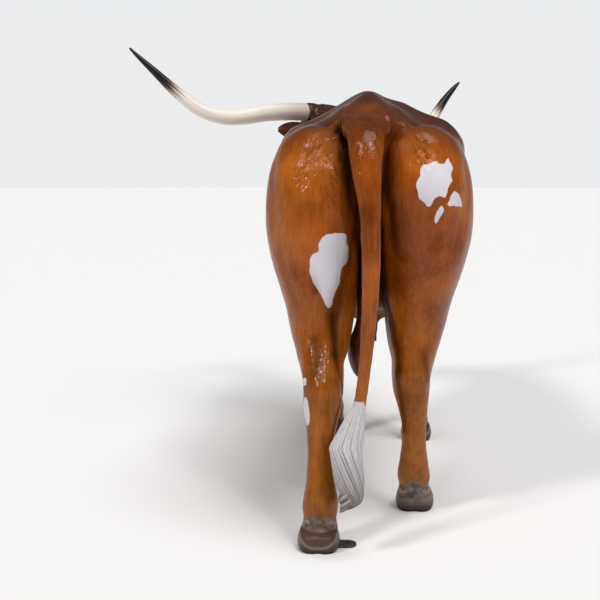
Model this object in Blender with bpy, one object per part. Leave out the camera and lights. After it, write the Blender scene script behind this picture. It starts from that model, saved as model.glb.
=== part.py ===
"""Life-size painted glass-fibre statue of a longhorn bull, standing in mid stride with its head turned left.

The flesh is blocked out from lofts, fused into one skin, pressed and raised into muscle with broad
strokes and then parted by thin cuts into head, neck, trunk, tail and legs. Horns, ears, eyes, hooves,
the tail's switch, the scrotum and the steel fixing tab are solids of their own, let into the flesh.
Metres, +Z up, +Y towards the head, +X to the animal's right; the origin is on the floor, under the
middle of the whole statue.
"""

import math

import bmesh
import bpy
import numpy as np
from mathutils import Matrix, Vector

# Driving sizes, in metres. The figure is set out with X = 0 on the spine and Y = 0 at the rearmost heel,
# and moved by CENTRE_ON_FLOOR once it is whole.
HIP_HEIGHT = 1.462
BELLY_HEIGHT = 0.59
CUT_GAP = 0.0003
CENTRE_ON_FLOOR = Vector((0.3010, -1.2656, 0.0))

VOXEL = 0.011
BLEND_WIDTH = 0.0125
FLESH_TRIANGLES = 6400

HEAD_AT = Vector((-0.21, 2.04, 1.46))
HEAD_YAW, HEAD_PITCH, HEAD_ROLL = math.radians(35), math.radians(41), math.radians(2.9)

SHARP_FROM = math.radians(40)
OUTLINE_STEPS = 56
WIDTH_HEIGHTS = (0.07, 0.27, 0.5, 0.73, 0.93)

# Trunk: y, top, bottom, then half-widths at WIDTH_HEIGHTS of the height, counted from the top.
TRUNK = (
    (0.110, 1.356, 1.262, 0.040, 0.068, 0.060, 0.045, 0.030),
    (0.160, 1.384, 1.215, 0.060, 0.105, 0.090, 0.065, 0.040),
    (0.240, 1.412, 1.060, 0.100, 0.185, 0.150, 0.110, 0.060),
    (0.350, 1.441, 0.850, 0.100, 0.252, 0.255, 0.225, 0.120),
    (0.460, HIP_HEIGHT, 0.720, 0.112, 0.294, 0.285, 0.250, 0.140),
    (0.560, 1.459, 0.690, 0.112, 0.292, 0.290, 0.262, 0.150),
    (0.680, 1.445, 0.665, 0.110, 0.252, 0.290, 0.272, 0.160),
    (0.800, 1.432, 0.640, 0.122, 0.246, 0.302, 0.288, 0.170),
    (0.970, 1.418, 0.610, 0.122, 0.262, 0.332, 0.318, 0.190),
    (1.150, 1.412, BELLY_HEIGHT, 0.122, 0.272, 0.347, 0.325, 0.190),
    (1.330, 1.425, 0.600, 0.110, 0.255, 0.325, 0.305, 0.175),
    (1.500, 1.455, 0.610, 0.085, 0.210, 0.285, 0.275, 0.160),
    (1.660, 1.445, 0.605, 0.070, 0.172, 0.240, 0.245, 0.150),
    (1.800, 1.340, 0.600, 0.055, 0.125, 0.185, 0.200, 0.120),
    (1.900, 1.160, 0.640, 0.040, 0.085, 0.125, 0.140, 0.085),
    (1.955, 1.030, 0.740, 0.025, 0.045, 0.065, 0.070, 0.045),
)

# Neck: centre x, y, z, then reach up, reach down and half-width. It bends to the left as it rises, and its
# section has these shares of the half-width at WIDTH_HEIGHTS.
NECK_WIDTHS = (0.42, 0.86, 1.0, 0.84, 0.34)
NECK = (
    (0.000, 1.420, 1.080, 0.320, 0.360, 0.215),
    (0.000, 1.600, 1.135, 0.310, 0.370, 0.195),
    (-0.020, 1.760, 1.195, 0.275, 0.430, 0.165),
    (-0.075, 1.880, 1.255, 0.232, 0.340, 0.136),
    (-0.140, 1.970, 1.315, 0.186, 0.245, 0.116),
    (-0.190, 2.030, 1.365, 0.140, 0.165, 0.100),
)

# Head: distance from the poll along the face, top, bottom, then half-widths as for the trunk.
HEAD = (
    (-0.065, -0.030, -0.140, 0.045, 0.066, 0.066, 0.058, 0.040),
    (-0.025, 0.034, -0.185, 0.074, 0.098, 0.090, 0.078, 0.050),
    (0.030, 0.048, -0.225, 0.082, 0.112, 0.104, 0.090, 0.055),
    (0.095, 0.046, -0.250, 0.082, 0.118, 0.110, 0.098, 0.058),
    (0.160, 0.042, -0.254, 0.074, 0.121, 0.108, 0.095, 0.055),
    (0.220, 0.036, -0.240, 0.062, 0.108, 0.098, 0.086, 0.050),
    (0.290, 0.030, -0.208, 0.050, 0.083, 0.083, 0.070, 0.042),
    (0.360, 0.026, -0.178, 0.044, 0.067, 0.071, 0.058, 0.036),
    (0.430, 0.023, -0.160, 0.046, 0.069, 0.074, 0.060, 0.038),
    (0.482, 0.008, -0.152, 0.048, 0.071, 0.076, 0.061, 0.040),
    (0.518, -0.018, -0.140, 0.041, 0.061, 0.066, 0.054, 0.033),
    (0.538, -0.048, -0.116, 0.022, 0.038, 0.042, 0.034, 0.020),
)

# Legs: z, centre out from the spine, centre y, half-width, reach forward, reach back.
HIND_LEG = (
    (1.356, 0.122, 0.365, 0.030, 0.050, 0.075),
    (1.335, 0.134, 0.356, 0.088, 0.130, 0.170),
    (1.292, 0.150, 0.348, 0.134, 0.190, 0.216),
    (1.245, 0.165, 0.345, 0.145, 0.228, 0.228),
    (1.180, 0.180, 0.345, 0.151, 0.260, 0.250),
    (1.080, 0.188, 0.352, 0.154, 0.290, 0.272),
    (0.980, 0.186, 0.362, 0.153, 0.290, 0.280),
    (0.880, 0.175, 0.370, 0.143, 0.270, 0.272),
    (0.800, 0.165, 0.370, 0.128, 0.238, 0.245),
    (0.730, 0.158, 0.352, 0.113, 0.190, 0.205),
    (0.670, 0.154, 0.322, 0.102, 0.150, 0.170),
    (0.610, 0.149, 0.282, 0.088, 0.118, 0.148),
    (0.555, 0.147, 0.243, 0.072, 0.092, 0.130),
    (0.510, 0.142, 0.212, 0.066, 0.076, 0.112),
    (0.460, 0.143, 0.195, 0.062, 0.068, 0.084),
    (0.410, 0.1455, 0.186, 0.0535, 0.056, 0.062),
    (0.340, 0.149, 0.186, 0.0425, 0.044, 0.047),
    (0.260, 0.149, 0.190, 0.0430, 0.042, 0.046),
    (0.200, 0.149, 0.195, 0.0485, 0.046, 0.054),
    (0.160, 0.149, 0.202, 0.0550, 0.050, 0.060),
    (0.125, 0.150, 0.212, 0.0575, 0.050, 0.056),
    (0.094, 0.151, 0.222, 0.0515, 0.047, 0.048),
    (0.068, 0.152, 0.230, 0.0590, 0.043, 0.050),
    (0.050, 0.153, 0.234, 0.0600, 0.037, 0.052),
    (0.025, 0.153, 0.238, 0.0520, 0.030, 0.042),
)
FORE_LEG = (
    (1.340, 0.080, 1.520, 0.020, 0.035, 0.045),
    (1.290, 0.105, 1.545, 0.050, 0.080, 0.090),
    (1.220, 0.145, 1.580, 0.078, 0.118, 0.130),
    (1.120, 0.180, 1.625, 0.090, 0.150, 0.170),
    (1.000, 0.195, 1.645, 0.094, 0.170, 0.200),
    (0.890, 0.194, 1.615, 0.090, 0.145, 0.180),
    (0.790, 0.190, 1.570, 0.080, 0.110, 0.138),
    (0.700, 0.188, 1.545, 0.069, 0.084, 0.098),
    (0.610, 0.187, 1.535, 0.059, 0.066, 0.074),
    (0.520, 0.186, 1.530, 0.052, 0.055, 0.058),
    (0.450, 0.186, 1.532, 0.055, 0.060, 0.054),
    (0.405, 0.186, 1.530, 0.056, 0.061, 0.052),
    (0.355, 0.186, 1.524, 0.047, 0.047, 0.048),
    (0.290, 0.186, 1.518, 0.0405, 0.039, 0.042),
    (0.220, 0.186, 1.514, 0.0415, 0.039, 0.045),
    (0.170, 0.186, 1.516, 0.0500, 0.046, 0.055),
    (0.135, 0.186, 1.524, 0.0550, 0.049, 0.057),
    (0.096, 0.186, 1.536, 0.0510, 0.047, 0.048),
    (0.068, 0.186, 1.545, 0.0580, 0.043, 0.050),
    (0.050, 0.186, 1.549, 0.0590, 0.037, 0.052),
    (0.025, 0.186, 1.552, 0.0510, 0.030, 0.042),
)
# Stride: how far each foot is set forward of the square stance; the swing starts high up and grows downwards.
SWING = {
    "hind_left": (1.15, -0.197),
    "hind_right": (1.15, 0.255),
    "fore_left": (1.05, 0.02),
    "fore_right": (1.05, -0.02),
}
SWING_POWER = 1.3
# How square a leg's section is at heights up it: the power of the oval's cosine and sine.
LEG_SQUARENESS = ((0.75, 0.92), (0.95, 0.80))
# Outward shift of each leg at heights up it; the left fore foot is set under the chest.
OUTWARD = {
    "hind_left": ((0.03, -0.002), (0.16, -0.002), (0.34, 0.0)),
    "hind_right": ((0.03, 0.0145), (0.33, 0.0085), (0.46, 0.0030), (0.70, 0.0060), (1.10, 0.0)),
    "fore_left": ((0.03, -0.026), (0.45, -0.020), (0.90, 0.0)),
    "fore_right": ((0.03, 0.030), (0.45, 0.016), (0.90, 0.0)),
}

# Tail: centre x, y, z, half-width, half-depth. It ends inside the switch.
TAIL = (
    (0.000, 0.340, 1.352, 0.022, 0.030),
    (0.000, 0.260, 1.344, 0.038, 0.036),
    (-0.010, 0.180, 1.334, 0.056, 0.042),
    (-0.016, 0.115, 1.325, 0.064, 0.047),
    (-0.012, 0.058, 1.306, 0.063, 0.050),
    (-0.0105, 0.005, 1.278, 0.057, 0.045),
    (-0.0100, -0.030, 1.220, 0.0490, 0.039),
    (-0.006, -0.048, 1.165, 0.0435, 0.034),
    (0.000, -0.060, 1.105, 0.0365, 0.031),
    (0.0045, -0.066, 1.030, 0.0318, 0.0285),
    (0.007, -0.070, 0.940, 0.0300, 0.0270),
    (0.0065, -0.072, 0.850, 0.0275, 0.0260),
    (0.0025, -0.074, 0.760, 0.0255, 0.0250),
    (-0.003, -0.076, 0.680, 0.0228, 0.0235),
    (-0.009, -0.077, 0.610, 0.0208, 0.0215),
    (-0.015, -0.078, 0.555, 0.0195, 0.0205),
    (-0.0235, -0.078, 0.495, 0.0200, 0.0200),
    (-0.030, -0.078, 0.450, 0.0190, 0.0190),
)
# Switch: z, left edge, right edge, centre y, half-depth.
SWITCH = (
    (0.506, -0.0405, -0.0050, -0.078, 0.0200),
    (0.488, -0.0445, -0.0055, -0.078, 0.0225),
    (0.460, -0.0625, -0.0060, -0.080, 0.0260),
    (0.425, -0.0815, -0.0080, -0.081, 0.0300),
    (0.385, -0.1030, -0.0105, -0.082, 0.0330),
    (0.366, -0.1130, -0.0115, -0.082, 0.0340),
    (0.356, -0.1165, -0.0120, -0.082, 0.0345),
    (0.344, -0.1150, -0.0125, -0.082, 0.0350),
    (0.325, -0.1125, -0.0135, -0.082, 0.0350),
    (0.290, -0.1070, -0.0110, -0.081, 0.0345),
    (0.250, -0.1000, -0.0075, -0.080, 0.0330),
    (0.224, -0.0915, -0.0085, -0.079, 0.0310),
    (0.204, -0.0790, -0.0095, -0.078, 0.0280),
    (0.186, -0.0795, -0.0155, -0.078, 0.0240),
    (0.171, -0.0815, -0.0370, -0.078, 0.0180),
    (0.160, -0.0790, -0.0620, -0.078, 0.0090),
)

# Horns, in the head's own frame: out from the poll, forward, up, radius. The right one is cast a little
# shorter.
HORN_LEFT = (
    (0.060, 0.000, -0.004, 0.0430),
    (0.160, -0.005, -0.006, 0.0415),
    (0.260, -0.020, -0.015, 0.0400),
    (0.360, -0.030, -0.029, 0.0385),
    (0.460, -0.030, -0.051, 0.0365),
    (0.560, -0.015, -0.061, 0.0340),
    (0.660, 0.015, -0.037, 0.0305),
    (0.760, 0.060, 0.036, 0.0255),
    (0.860, 0.110, 0.130, 0.0165),
    (0.930, 0.145, 0.196, 0.0085),
    (0.955, 0.158, 0.222, 0.0045),
)
HORN_RIGHT = (
    (0.060, 0.000, 0.000, 0.0430),
    (0.160, -0.005, -0.002, 0.0415),
    (0.260, -0.020, -0.007, 0.0400),
    (0.360, -0.030, -0.017, 0.0385),
    (0.450, -0.030, -0.038, 0.0365),
    (0.540, -0.018, -0.055, 0.0340),
    (0.630, 0.022, -0.037, 0.0320),
    (0.708, 0.070, 0.032, 0.0270),
    (0.797, 0.101, 0.130, 0.0190),
    (0.869, 0.107, 0.207, 0.0110),
    (0.893, 0.104, 0.232, 0.0045),
)
# Distances out from the poll: the hide's sleeve over the horn, how much thicker it is, and the horn's
# inner end.
SLEEVE_START, SLEEVE_END, SLEEVE_THICKNESS = 0.065, 0.116, 0.004
HORN_ROOT = 0.084
HORN_SIDES, HORN_STEPS, SLEEVE_STEPS = 12, 24, 8

# Ear, in the same frame as the horns: out, forward, up, half-width of the blade, depth of the cup.
EAR = (
    (0.078, 0.010, -0.080, 0.022, 0.020),
    (0.105, 0.004, -0.086, 0.030, 0.026),
    (0.145, -0.006, -0.092, 0.038, 0.026),
    (0.190, -0.018, -0.096, 0.041, 0.020),
    (0.238, -0.031, -0.098, 0.035, 0.013),
    (0.274, -0.041, -0.099, 0.021, 0.007),
    (0.293, -0.046, -0.100, 0.008, 0.003),
)
EAR_THICKNESS = 0.009
EYE_AT, EYE_RADIUS = (0.185, 0.0925, -0.020), 0.0225

# Hoof: plan of one half from the heel to the cleft between the claws, as (across, ahead).
HOOF_PLAN = (
    (0.000, 0.006),
    (0.026, 0.001),
    (0.049, 0.012),
    (0.0625, 0.040),
    (0.0655, 0.072),
    (0.0600, 0.108),
    (0.0440, 0.136),
    (0.0240, 0.150),
    (0.0090, 0.146),
    (0.0030, 0.132),
    (0.0015, 0.112),
)
# Height at the heel, height at the toe, scale across, heel moved ahead, toe moved back.
HOOF_LEVELS = (
    (0.000, 0.000, 0.88, 0.006, 0.002),
    (0.010, 0.012, 0.975, 0.001, 0.001),
    (0.028, 0.030, 1.02, 0.000, 0.004),
    (0.044, 0.052, 0.975, 0.003, 0.014),
    (0.054, 0.072, 0.900, 0.010, 0.026),
    (0.058, 0.083, 0.800, 0.020, 0.038),
)
HOOF_AT = {
    "hind_left": (-0.1525, -0.034),
    "hind_right": (0.1690, 0.420),
    "fore_left": (-0.1600, 1.478),
    "fore_right": (0.2160, 1.440),
}

# Dewclaws stand behind the fetlock, this far each side of the middle: the radius and the height of each
# swelling.
DEWCLAW_APART = 0.035
DEWCLAW_RADIUS, DEWCLAW_RISE = 0.014, 0.015

# Scrotum: centre x, y, z, half-width, half-depth.
SCROTUM = (
    (-0.014, 0.330, 0.800, 0.024, 0.030),
    (-0.016, 0.325, 0.740, 0.022, 0.030),
    (-0.019, 0.318, 0.695, 0.022, 0.034),
    (-0.0225, 0.312, 0.661, 0.028, 0.040),
    (-0.0260, 0.308, 0.634, 0.036, 0.046),
    (-0.0285, 0.304, 0.600, 0.0395, 0.051),
    (-0.0285, 0.302, 0.575, 0.0395, 0.052),
    (-0.0275, 0.300, 0.548, 0.034, 0.048),
    (-0.0265, 0.298, 0.525, 0.025, 0.038),
    (-0.0260, 0.298, 0.507, 0.013, 0.020),
)

# Steel tab that pins the left hind hoof down: inner end and outer end across, middle ahead, width, thickness.
TAB = (-0.132, -0.033, 0.064, 0.062, 0.008)
TAB_HOLE = 0.008

# Broad strokes over the fused flesh: raised if the height is positive, pressed in if negative. Each has a
# radius, a height and a path of points, and is made on both sides where the first word is "both".
STROKES = (
    ("both", 0.065, 0.030, ((0.275, 0.45, 1.345), (0.280, 0.54, 1.335))),
    (
        "once",
        0.060,
        0.034,
        ((0.250, 0.44, 1.400), (0.300, 0.43, 1.352), (0.318, 0.46, 1.315), (0.322, 0.46, 1.285)),
    ),
    ("once", 0.045, 0.012, ((0.285, 0.44, 1.365), (0.308, 0.44, 1.335))),
    ("once", 0.055, 0.010, ((-0.290, 0.40, 1.345), (-0.305, 0.46, 1.310))),
    ("once", 0.055, 0.012, ((0.110, 0.46, 1.408), (0.190, 0.46, 1.390), (0.250, 0.45, 1.372))),
    ("once", 0.050, -0.010, ((0.062, 0.38, 1.445), (0.062, 0.52, 1.450))),
    ("once", 0.024, 0.018, ((-0.086, 0.075, 1.324), (-0.092, 0.108, 1.346))),
    ("once", 0.024, 0.012, ((0.042, 0.072, 1.322), (0.044, 0.106, 1.346))),
    ("once", 0.024, 0.009, ((-0.018, 0.330, 1.440), (-0.052, 0.215, 1.402), (-0.080, 0.115, 1.356))),
    ("once", 0.024, 0.009, ((0.010, 0.330, 1.440), (0.038, 0.215, 1.402), (0.062, 0.115, 1.356))),
    ("both", 0.040, -0.010, ((0.125, 0.190, 1.345), (0.165, 0.320, 1.395))),
    ("both", 0.060, 0.010, ((0.190, 0.17, 1.250), (0.180, 0.10, 1.120), (0.160, 0.09, 0.990))),
    ("once", 0.030, 0.016, ((-0.108, 0.150, 1.330), (-0.100, 0.135, 1.290))),
    (
        "once",
        0.036,
        0.018,
        ((-0.098, 0.130, 1.280), (-0.096, 0.110, 1.180), (-0.092, 0.100, 1.080), (-0.090, 0.105, 0.980)),
    ),
    ("once", 0.034, 0.022, ((0.102, 0.150, 1.325), (0.097, 0.135, 1.285))),
    (
        "once",
        0.044,
        0.030,
        ((0.104, 0.130, 1.290), (0.100, 0.112, 1.210), (0.096, 0.104, 1.120), (0.092, 0.110, 0.960)),
    ),
    ("once", 0.040, -0.010, ((-0.075, 0.200, 0.665), (-0.078, 0.170, 0.600))),
    (
        "both", 0.040, -0.008,
        ((0.300, 0.20, 1.18), (0.285, 0.13, 1.02), (0.245, 0.12, 0.88), (0.215, 0.13, 0.76)),
    ),
    ("both", 0.070, -0.014, ((0.285, 0.62, 1.300), (0.300, 0.70, 1.150), (0.280, 0.72, 0.980))),
    ("both", 0.060, -0.012, ((0.250, 0.62, 0.860), (0.240, 0.58, 0.740))),
    ("both", 0.060, 0.010, ((0.300, 0.40, 1.050), (0.280, 0.50, 0.900))),
    ("both", 0.022, -0.012, ((0.200, 0.185, 0.640), (0.190, 0.140, 0.560), (0.186, 0.110, 0.500))),
    ("both", 0.022, -0.014, ((0.085, 0.150, 0.640), (0.095, 0.110, 0.560), (0.100, 0.085, 0.500))),
    ("both", 0.070, 0.012, ((0.200, 1.62, 1.280), (0.260, 1.52, 1.100))),
    ("both", 0.045, -0.010, ((0.270, 1.36, 1.300), (0.320, 1.34, 1.120), (0.320, 1.36, 0.960))),
    ("both", 0.045, 0.012, ((0.225, 1.76, 1.040), (0.205, 1.80, 0.980))),
    ("both", 0.035, -0.010, ((0.260, 1.50, 0.940), (0.270, 1.62, 0.990), (0.235, 1.72, 0.990))),
    ("both", 0.050, 0.010, ((0.265, 1.42, 0.860), (0.260, 1.46, 0.930))),
    ("both", 0.050, -0.010, ((0.140, 1.72, 1.330), (0.175, 1.80, 1.180), (0.160, 1.88, 1.060))),
    ("once", 0.050, 0.020, ((0.000, 1.930, 0.900), (0.000, 1.900, 0.760), (0.000, 1.830, 0.650))),
    ("once", 0.060, -0.006, ((0.000, 0.62, 1.455), (0.000, 0.90, 1.425), (0.000, 1.20, 1.415))),
    ("once", 0.035, 0.030, ((0.000, 0.86, 0.630), (0.000, 1.00, 0.600), (0.000, 1.12, 0.600))),
    ("once", 0.026, 0.036, ((0.020, 0.80, 0.625), (0.015, 0.86, 0.605))),
)
# The same on the head, with the paths given along the face, across and out of the forehead.
HEAD_STROKES = (
    ("both", 0.024, 0.009, ((0.120, 0.100, 0.022), (0.175, 0.112, 0.012), (0.220, 0.104, 0.002))),
    ("both", 0.024, -0.010, ((0.185, 0.116, -0.022), (0.200, 0.114, -0.026))),
    ("both", 0.028, -0.007, ((0.240, 0.100, -0.030), (0.300, 0.086, -0.052), (0.350, 0.078, -0.070))),
    ("both", 0.045, 0.008, ((0.110, 0.104, -0.150), (0.165, 0.104, -0.175))),
    ("both", 0.015, -0.012, ((0.490, 0.052, -0.030), (0.500, 0.046, -0.050))),
    (
        "both",
        0.012,
        -0.008,
        ((0.535, 0.010, -0.105), (0.500, 0.058, -0.112), (0.440, 0.076, -0.118), (0.395, 0.072, -0.112)),
    ),
    ("once", 0.030, 0.008, ((0.460, 0.000, -0.172), (0.500, 0.000, -0.160))),
    ("once", 0.035, -0.007, ((0.080, 0.000, 0.048), (0.200, 0.000, 0.040))),
)

# Blocks that part the flesh, as (ahead, up) corners: on the head along the face and out of the forehead.
# They reach this far to each side, and the fore legs start this far from the spine.
BLOCK_REACH, TAIL_BLOCK_REACH, FORE_BLOCK_INNER = 0.6, 0.14, 0.090
HEAD_BLOCK = ((-0.100, 0.120), (-0.035, -0.060), (0.050, -0.330), (0.700, -0.330), (0.700, 0.120))
TAIL_BLOCK = (
    (0.105, 1.450),
    (0.055, 1.285),
    (0.045, 1.200),
    (0.020, 1.000),
    (-0.035, 0.760),
    (-0.040, 0.300),
    (-0.400, 0.300),
    (-0.400, 1.450),
)
NECK_BLOCK = ((1.540, 1.620), (1.905, 1.000), (1.980, 0.960), (2.600, 0.960), (2.600, 1.620))
HIND_BLOCK = (
    (-0.300, 1.235),
    (0.090, 1.235),
    (0.200, 1.150),
    (0.380, 0.990),
    (0.520, 0.860),
    (0.600, 0.770),
    (0.640, 0.700),
    (0.640, 0.500),
    (0.900, -0.100),
    (-0.300, -0.100),
)
FORE_BLOCK = (
    (1.370, 0.500),
    (1.370, 0.800),
    (1.420, 0.920),
    (1.540, 0.990),
    (1.680, 0.980),
    (1.770, 0.880),
    (1.780, 0.740),
    (1.760, 0.500),
    (1.900, -0.100),
    (1.200, -0.100),
)


def clear_scene():
    for old in list(bpy.data.objects):
        bpy.data.objects.remove(old)


def material(name, colour, roughness, metallic=0.0):
    """A plain finish: colour as sRGB hex."""
    made = bpy.data.materials.new(name)
    made.use_nodes = True
    shader = made.node_tree.nodes["Principled BSDF"]
    channels = [int(colour[i : i + 2], 16) / 255 for i in (0, 2, 4)]
    linear = [c / 12.92 if c <= 0.04045 else ((c + 0.055) / 1.055) ** 2.4 for c in channels]
    shader.inputs["Base Color"].default_value = (*linear, 1.0)
    shader.inputs["Roughness"].default_value = roughness
    shader.inputs["Metallic"].default_value = metallic
    made.diffuse_color = (*linear, 1.0)
    return made


def mesh_object(name, points, faces):
    mesh = bpy.data.meshes.new(name)
    mesh.from_pydata([tuple(p) for p in points], [], [tuple(f) for f in faces])
    made = bpy.data.objects.new(name, mesh)
    bpy.context.scene.collection.objects.link(made)
    work = bmesh.new()
    work.from_mesh(mesh)
    bmesh.ops.triangulate(work, faces=work.faces)
    bmesh.ops.recalc_face_normals(work, faces=work.faces)
    if work.calc_volume(signed=True) < 0:
        bmesh.ops.reverse_faces(work, faces=work.faces)
    work.to_mesh(mesh)
    work.free()
    return made


def flow(rows, count, closed=False):
    """A smooth curve through rows of numbers, read at even steps of the way along it."""
    rows = np.asarray(rows, float)
    if closed:
        rows = np.vstack([rows[-1], rows, rows[:2]])
    steps = np.sqrt(np.linalg.norm(np.diff(rows[:, :3], axis=0), axis=1))
    at = np.concatenate([[0.0], np.cumsum(np.maximum(steps, 1e-6))])
    slopes = np.gradient(rows, at, axis=0)
    first, last = (at[1], at[-2]) if closed else (at[0], at[-1])
    wanted = np.linspace(first, last, count, endpoint=not closed)
    i = np.clip(np.searchsorted(at, wanted, side="right") - 1, 0, len(at) - 2)
    width = (at[i + 1] - at[i])[:, None]
    t = ((wanted - at[i]) / width[:, 0])[:, None]
    return (
        (2 * t**3 - 3 * t**2 + 1) * rows[i]
        + (t**3 - 2 * t**2 + t) * width * slopes[i]
        + (3 * t**2 - 2 * t**3) * rows[i + 1]
        + (t**3 - t**2) * width * slopes[i + 1]
    )


def outline(top, bottom, widths):
    """A symmetric section as (across, up) pairs, from its top, bottom and half-widths down its height."""
    height = top - bottom
    side = [(w, top - height * f) for w, f in zip(widths, WIDTH_HEIGHTS)]
    other = [(-w, v) for w, v in reversed(side)]
    corners = [(0.0, top), *side, (0.0, bottom), *other]
    return flow([(u, v, 0.0) for u, v in corners], OUTLINE_STEPS, closed=True)[:, :2]


def loft(name, rings):
    """A closed tube through rings of points."""
    rings = np.asarray(rings, float)
    count, around = rings.shape[:2]
    faces = []
    for r in range(count - 1):
        for k in range(around):
            n = (k + 1) % around
            faces.append((r * around + k, r * around + n, (r + 1) * around + n, (r + 1) * around + k))
    faces.append(tuple(range(around)))
    faces.append(tuple(range((count - 1) * around, count * around)))
    return mesh_object(name, rings.reshape(-1, 3), faces)


def oval(centre, across, ahead, half_width, front, back, count=28, power=0.92):
    """An oval about a centre, with its own reach ahead and back."""
    ring = []
    for k in range(count):
        angle = 2 * math.pi * k / count
        c, s = math.cos(angle), math.sin(angle)
        u = half_width * math.copysign(abs(c) ** power, c)
        v = (front if s > 0 else back) * math.copysign(abs(s) ** power, s)
        ring.append(centre + across * u + ahead * v)
    return ring


def head_axes():
    """The head's axes: along the face towards the muzzle, to the animal's right, and out of the forehead."""
    level = Vector((-math.sin(HEAD_YAW), math.cos(HEAD_YAW), 0))
    roll = Matrix.Rotation(HEAD_ROLL, 3, level)
    right = roll @ Vector((math.cos(HEAD_YAW), math.sin(HEAD_YAW), 0))
    up = roll @ Vector((0, 0, 1))
    along = level * math.cos(HEAD_PITCH) - up * math.sin(HEAD_PITCH)
    out = level * math.sin(HEAD_PITCH) + up * math.cos(HEAD_PITCH)
    return along, right, out


def head_point(along, right, out):
    a, r, o = head_axes()
    return HEAD_AT + a * along + r * right + o * out


def side_axes(side):
    """The frame that horns and ears are set out in: out from the poll to that side, ahead and up."""
    level = Vector((-math.sin(HEAD_YAW), math.cos(HEAD_YAW), 0))
    right = head_axes()[1]
    return right * side, level, right.cross(level)


def trunk_form():
    rings = []
    for row in flow(TRUNK, 120):
        section = outline(row[1], row[2], row[3:])
        rings.append([(u, row[0], v) for u, v in section])
    return loft("trunk_form", rings)


def head_form():
    rings = []
    for row in flow(HEAD, 34):
        section = outline(row[1], row[2], row[3:])
        rings.append([head_point(row[0], u, v) for u, v in section])
    return loft("head_form", rings)


def neck_form():
    rows = flow(NECK, 22)
    tangents = np.gradient(rows[:, :3], axis=0)
    rings = []
    for row, tangent in zip(rows, tangents):
        ahead = Vector(tangent).normalized()
        right = ahead.cross(Vector((0, 0, 1))).normalized()
        up = right.cross(ahead)
        centre = Vector(row[:3])
        widths = [row[5] * share for share in NECK_WIDTHS]
        section = outline(row[3], -row[4], widths)
        rings.append([centre + right * u + up * v for u, v in section])
    return loft("neck_form", rings)


def leg_form(name):
    side = 1 if name.endswith("right") else -1
    top, swing = SWING[name]
    rows = flow(HIND_LEG if name.startswith("hind") else FORE_LEG, 64)
    rings = []
    for z, x, y, half_width, front, back in rows:
        y += swing * max(0.0, (top - z) / top) ** SWING_POWER
        x += np.interp(z, *zip(*OUTWARD[name]))
        centre = Vector((side * x, y, z))
        power = np.interp(z, *zip(*LEG_SQUARENESS))
        rings.append(oval(centre, Vector((1, 0, 0)), Vector((0, 1, 0)), half_width, front, back, power=power))
    return loft(name + "_form", rings)


def pipe(name, rows, steps, sides):
    """A tube down rows of centre x, y, z, half-width across X and half-depth."""
    rows = flow(rows, steps)
    tangents = np.gradient(rows[:, :3], axis=0)
    rings = []
    for row, tangent in zip(rows, tangents):
        across = Vector((1, 0, 0))
        deep = Vector(tangent).normalized().cross(across).normalized()
        rings.append(oval(Vector(row[:3]), across, deep, row[3], row[4], row[4], count=sides, power=0.95))
    return loft(name, rings)


def horn_rings(rows, side, first, last, count, grow=0.0):
    """Rings of a horn between two distances out from the poll."""
    out, ahead, up = side_axes(side)
    rows = flow(rows, 400)
    rows = rows[(rows[:, 0] >= first) & (rows[:, 0] <= last)]
    rows = rows[np.linspace(0, len(rows) - 1, count).round().astype(int)]
    centres = [HEAD_AT + out * r[0] + ahead * r[1] + up * r[2] for r in rows]
    rings = []
    for i, row in enumerate(rows):
        tangent = (centres[min(i + 1, count - 1)] - centres[max(i - 1, 0)]).normalized()
        across = tangent.cross(ahead).normalized()
        radius = row[3] + grow
        rings.append(oval(centres[i], across, tangent.cross(across), radius, radius, radius, HORN_SIDES, 1.0))
    return rings


def ear(name, side):
    """A cupped leaf: the back of each section is an arc, and its front the same arc set in a little."""
    out, ahead, up = side_axes(side)
    steps = np.linspace(-1, 1, 7)
    rings = []
    for u, v, w, half_width, cup in flow(EAR, 10):
        centre = HEAD_AT + out * u + ahead * v + up * w
        rim = np.clip(1 - steps**2, 0, 1)
        back, front = [], []
        for step, rise in zip(steps, rim):
            thickness = EAR_THICKNESS * (0.3 + 0.7 * rise)
            back.append(centre + up * (step * half_width) - ahead * (cup * rise + thickness))
            front.append(centre + up * (step * half_width * 0.9) - ahead * (cup * rise))
        rings.append(back + front[::-1])
    return loft(name, rings)


def ball(name, centre, radius):
    work = bmesh.new()
    bmesh.ops.create_icosphere(work, subdivisions=2, radius=radius)
    mesh = bpy.data.meshes.new(name)
    work.to_mesh(mesh)
    work.free()
    mesh.transform(Matrix.Translation(centre))
    made = bpy.data.objects.new(name, mesh)
    bpy.context.scene.collection.objects.link(made)
    return made


def hoof(name, leg):
    x, y = HOOF_AT[leg]
    half = flow([(a, b, 0.0) for a, b in HOOF_PLAN], 15)[:, :2]
    plan = np.vstack([half, half[::-1] * (-1, 1)])
    plan = plan[plan[:, 0] != 0]
    length = max(b for _, b in HOOF_PLAN)
    rings = []
    for heel, toe, across, ahead, back in HOOF_LEVELS:
        ring = []
        for a, b in plan:
            f = b / length
            along = y + ahead + b * (length - ahead - back) / length
            ring.append((x + a * across, along, heel + (toe - heel) * f))
        rings.append(ring)
    return loft(name, rings)


def switch(name):
    rings = []
    for z, left, right, y, deep in flow(SWITCH, 20):
        centre = Vector(((left + right) / 2, y, z))
        half_width = (right - left) / 2
        rings.append(oval(centre, Vector((1, 0, 0)), Vector((0, 1, 0)), half_width, deep, deep, 18, 0.95))
    return loft(name, rings)


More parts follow.
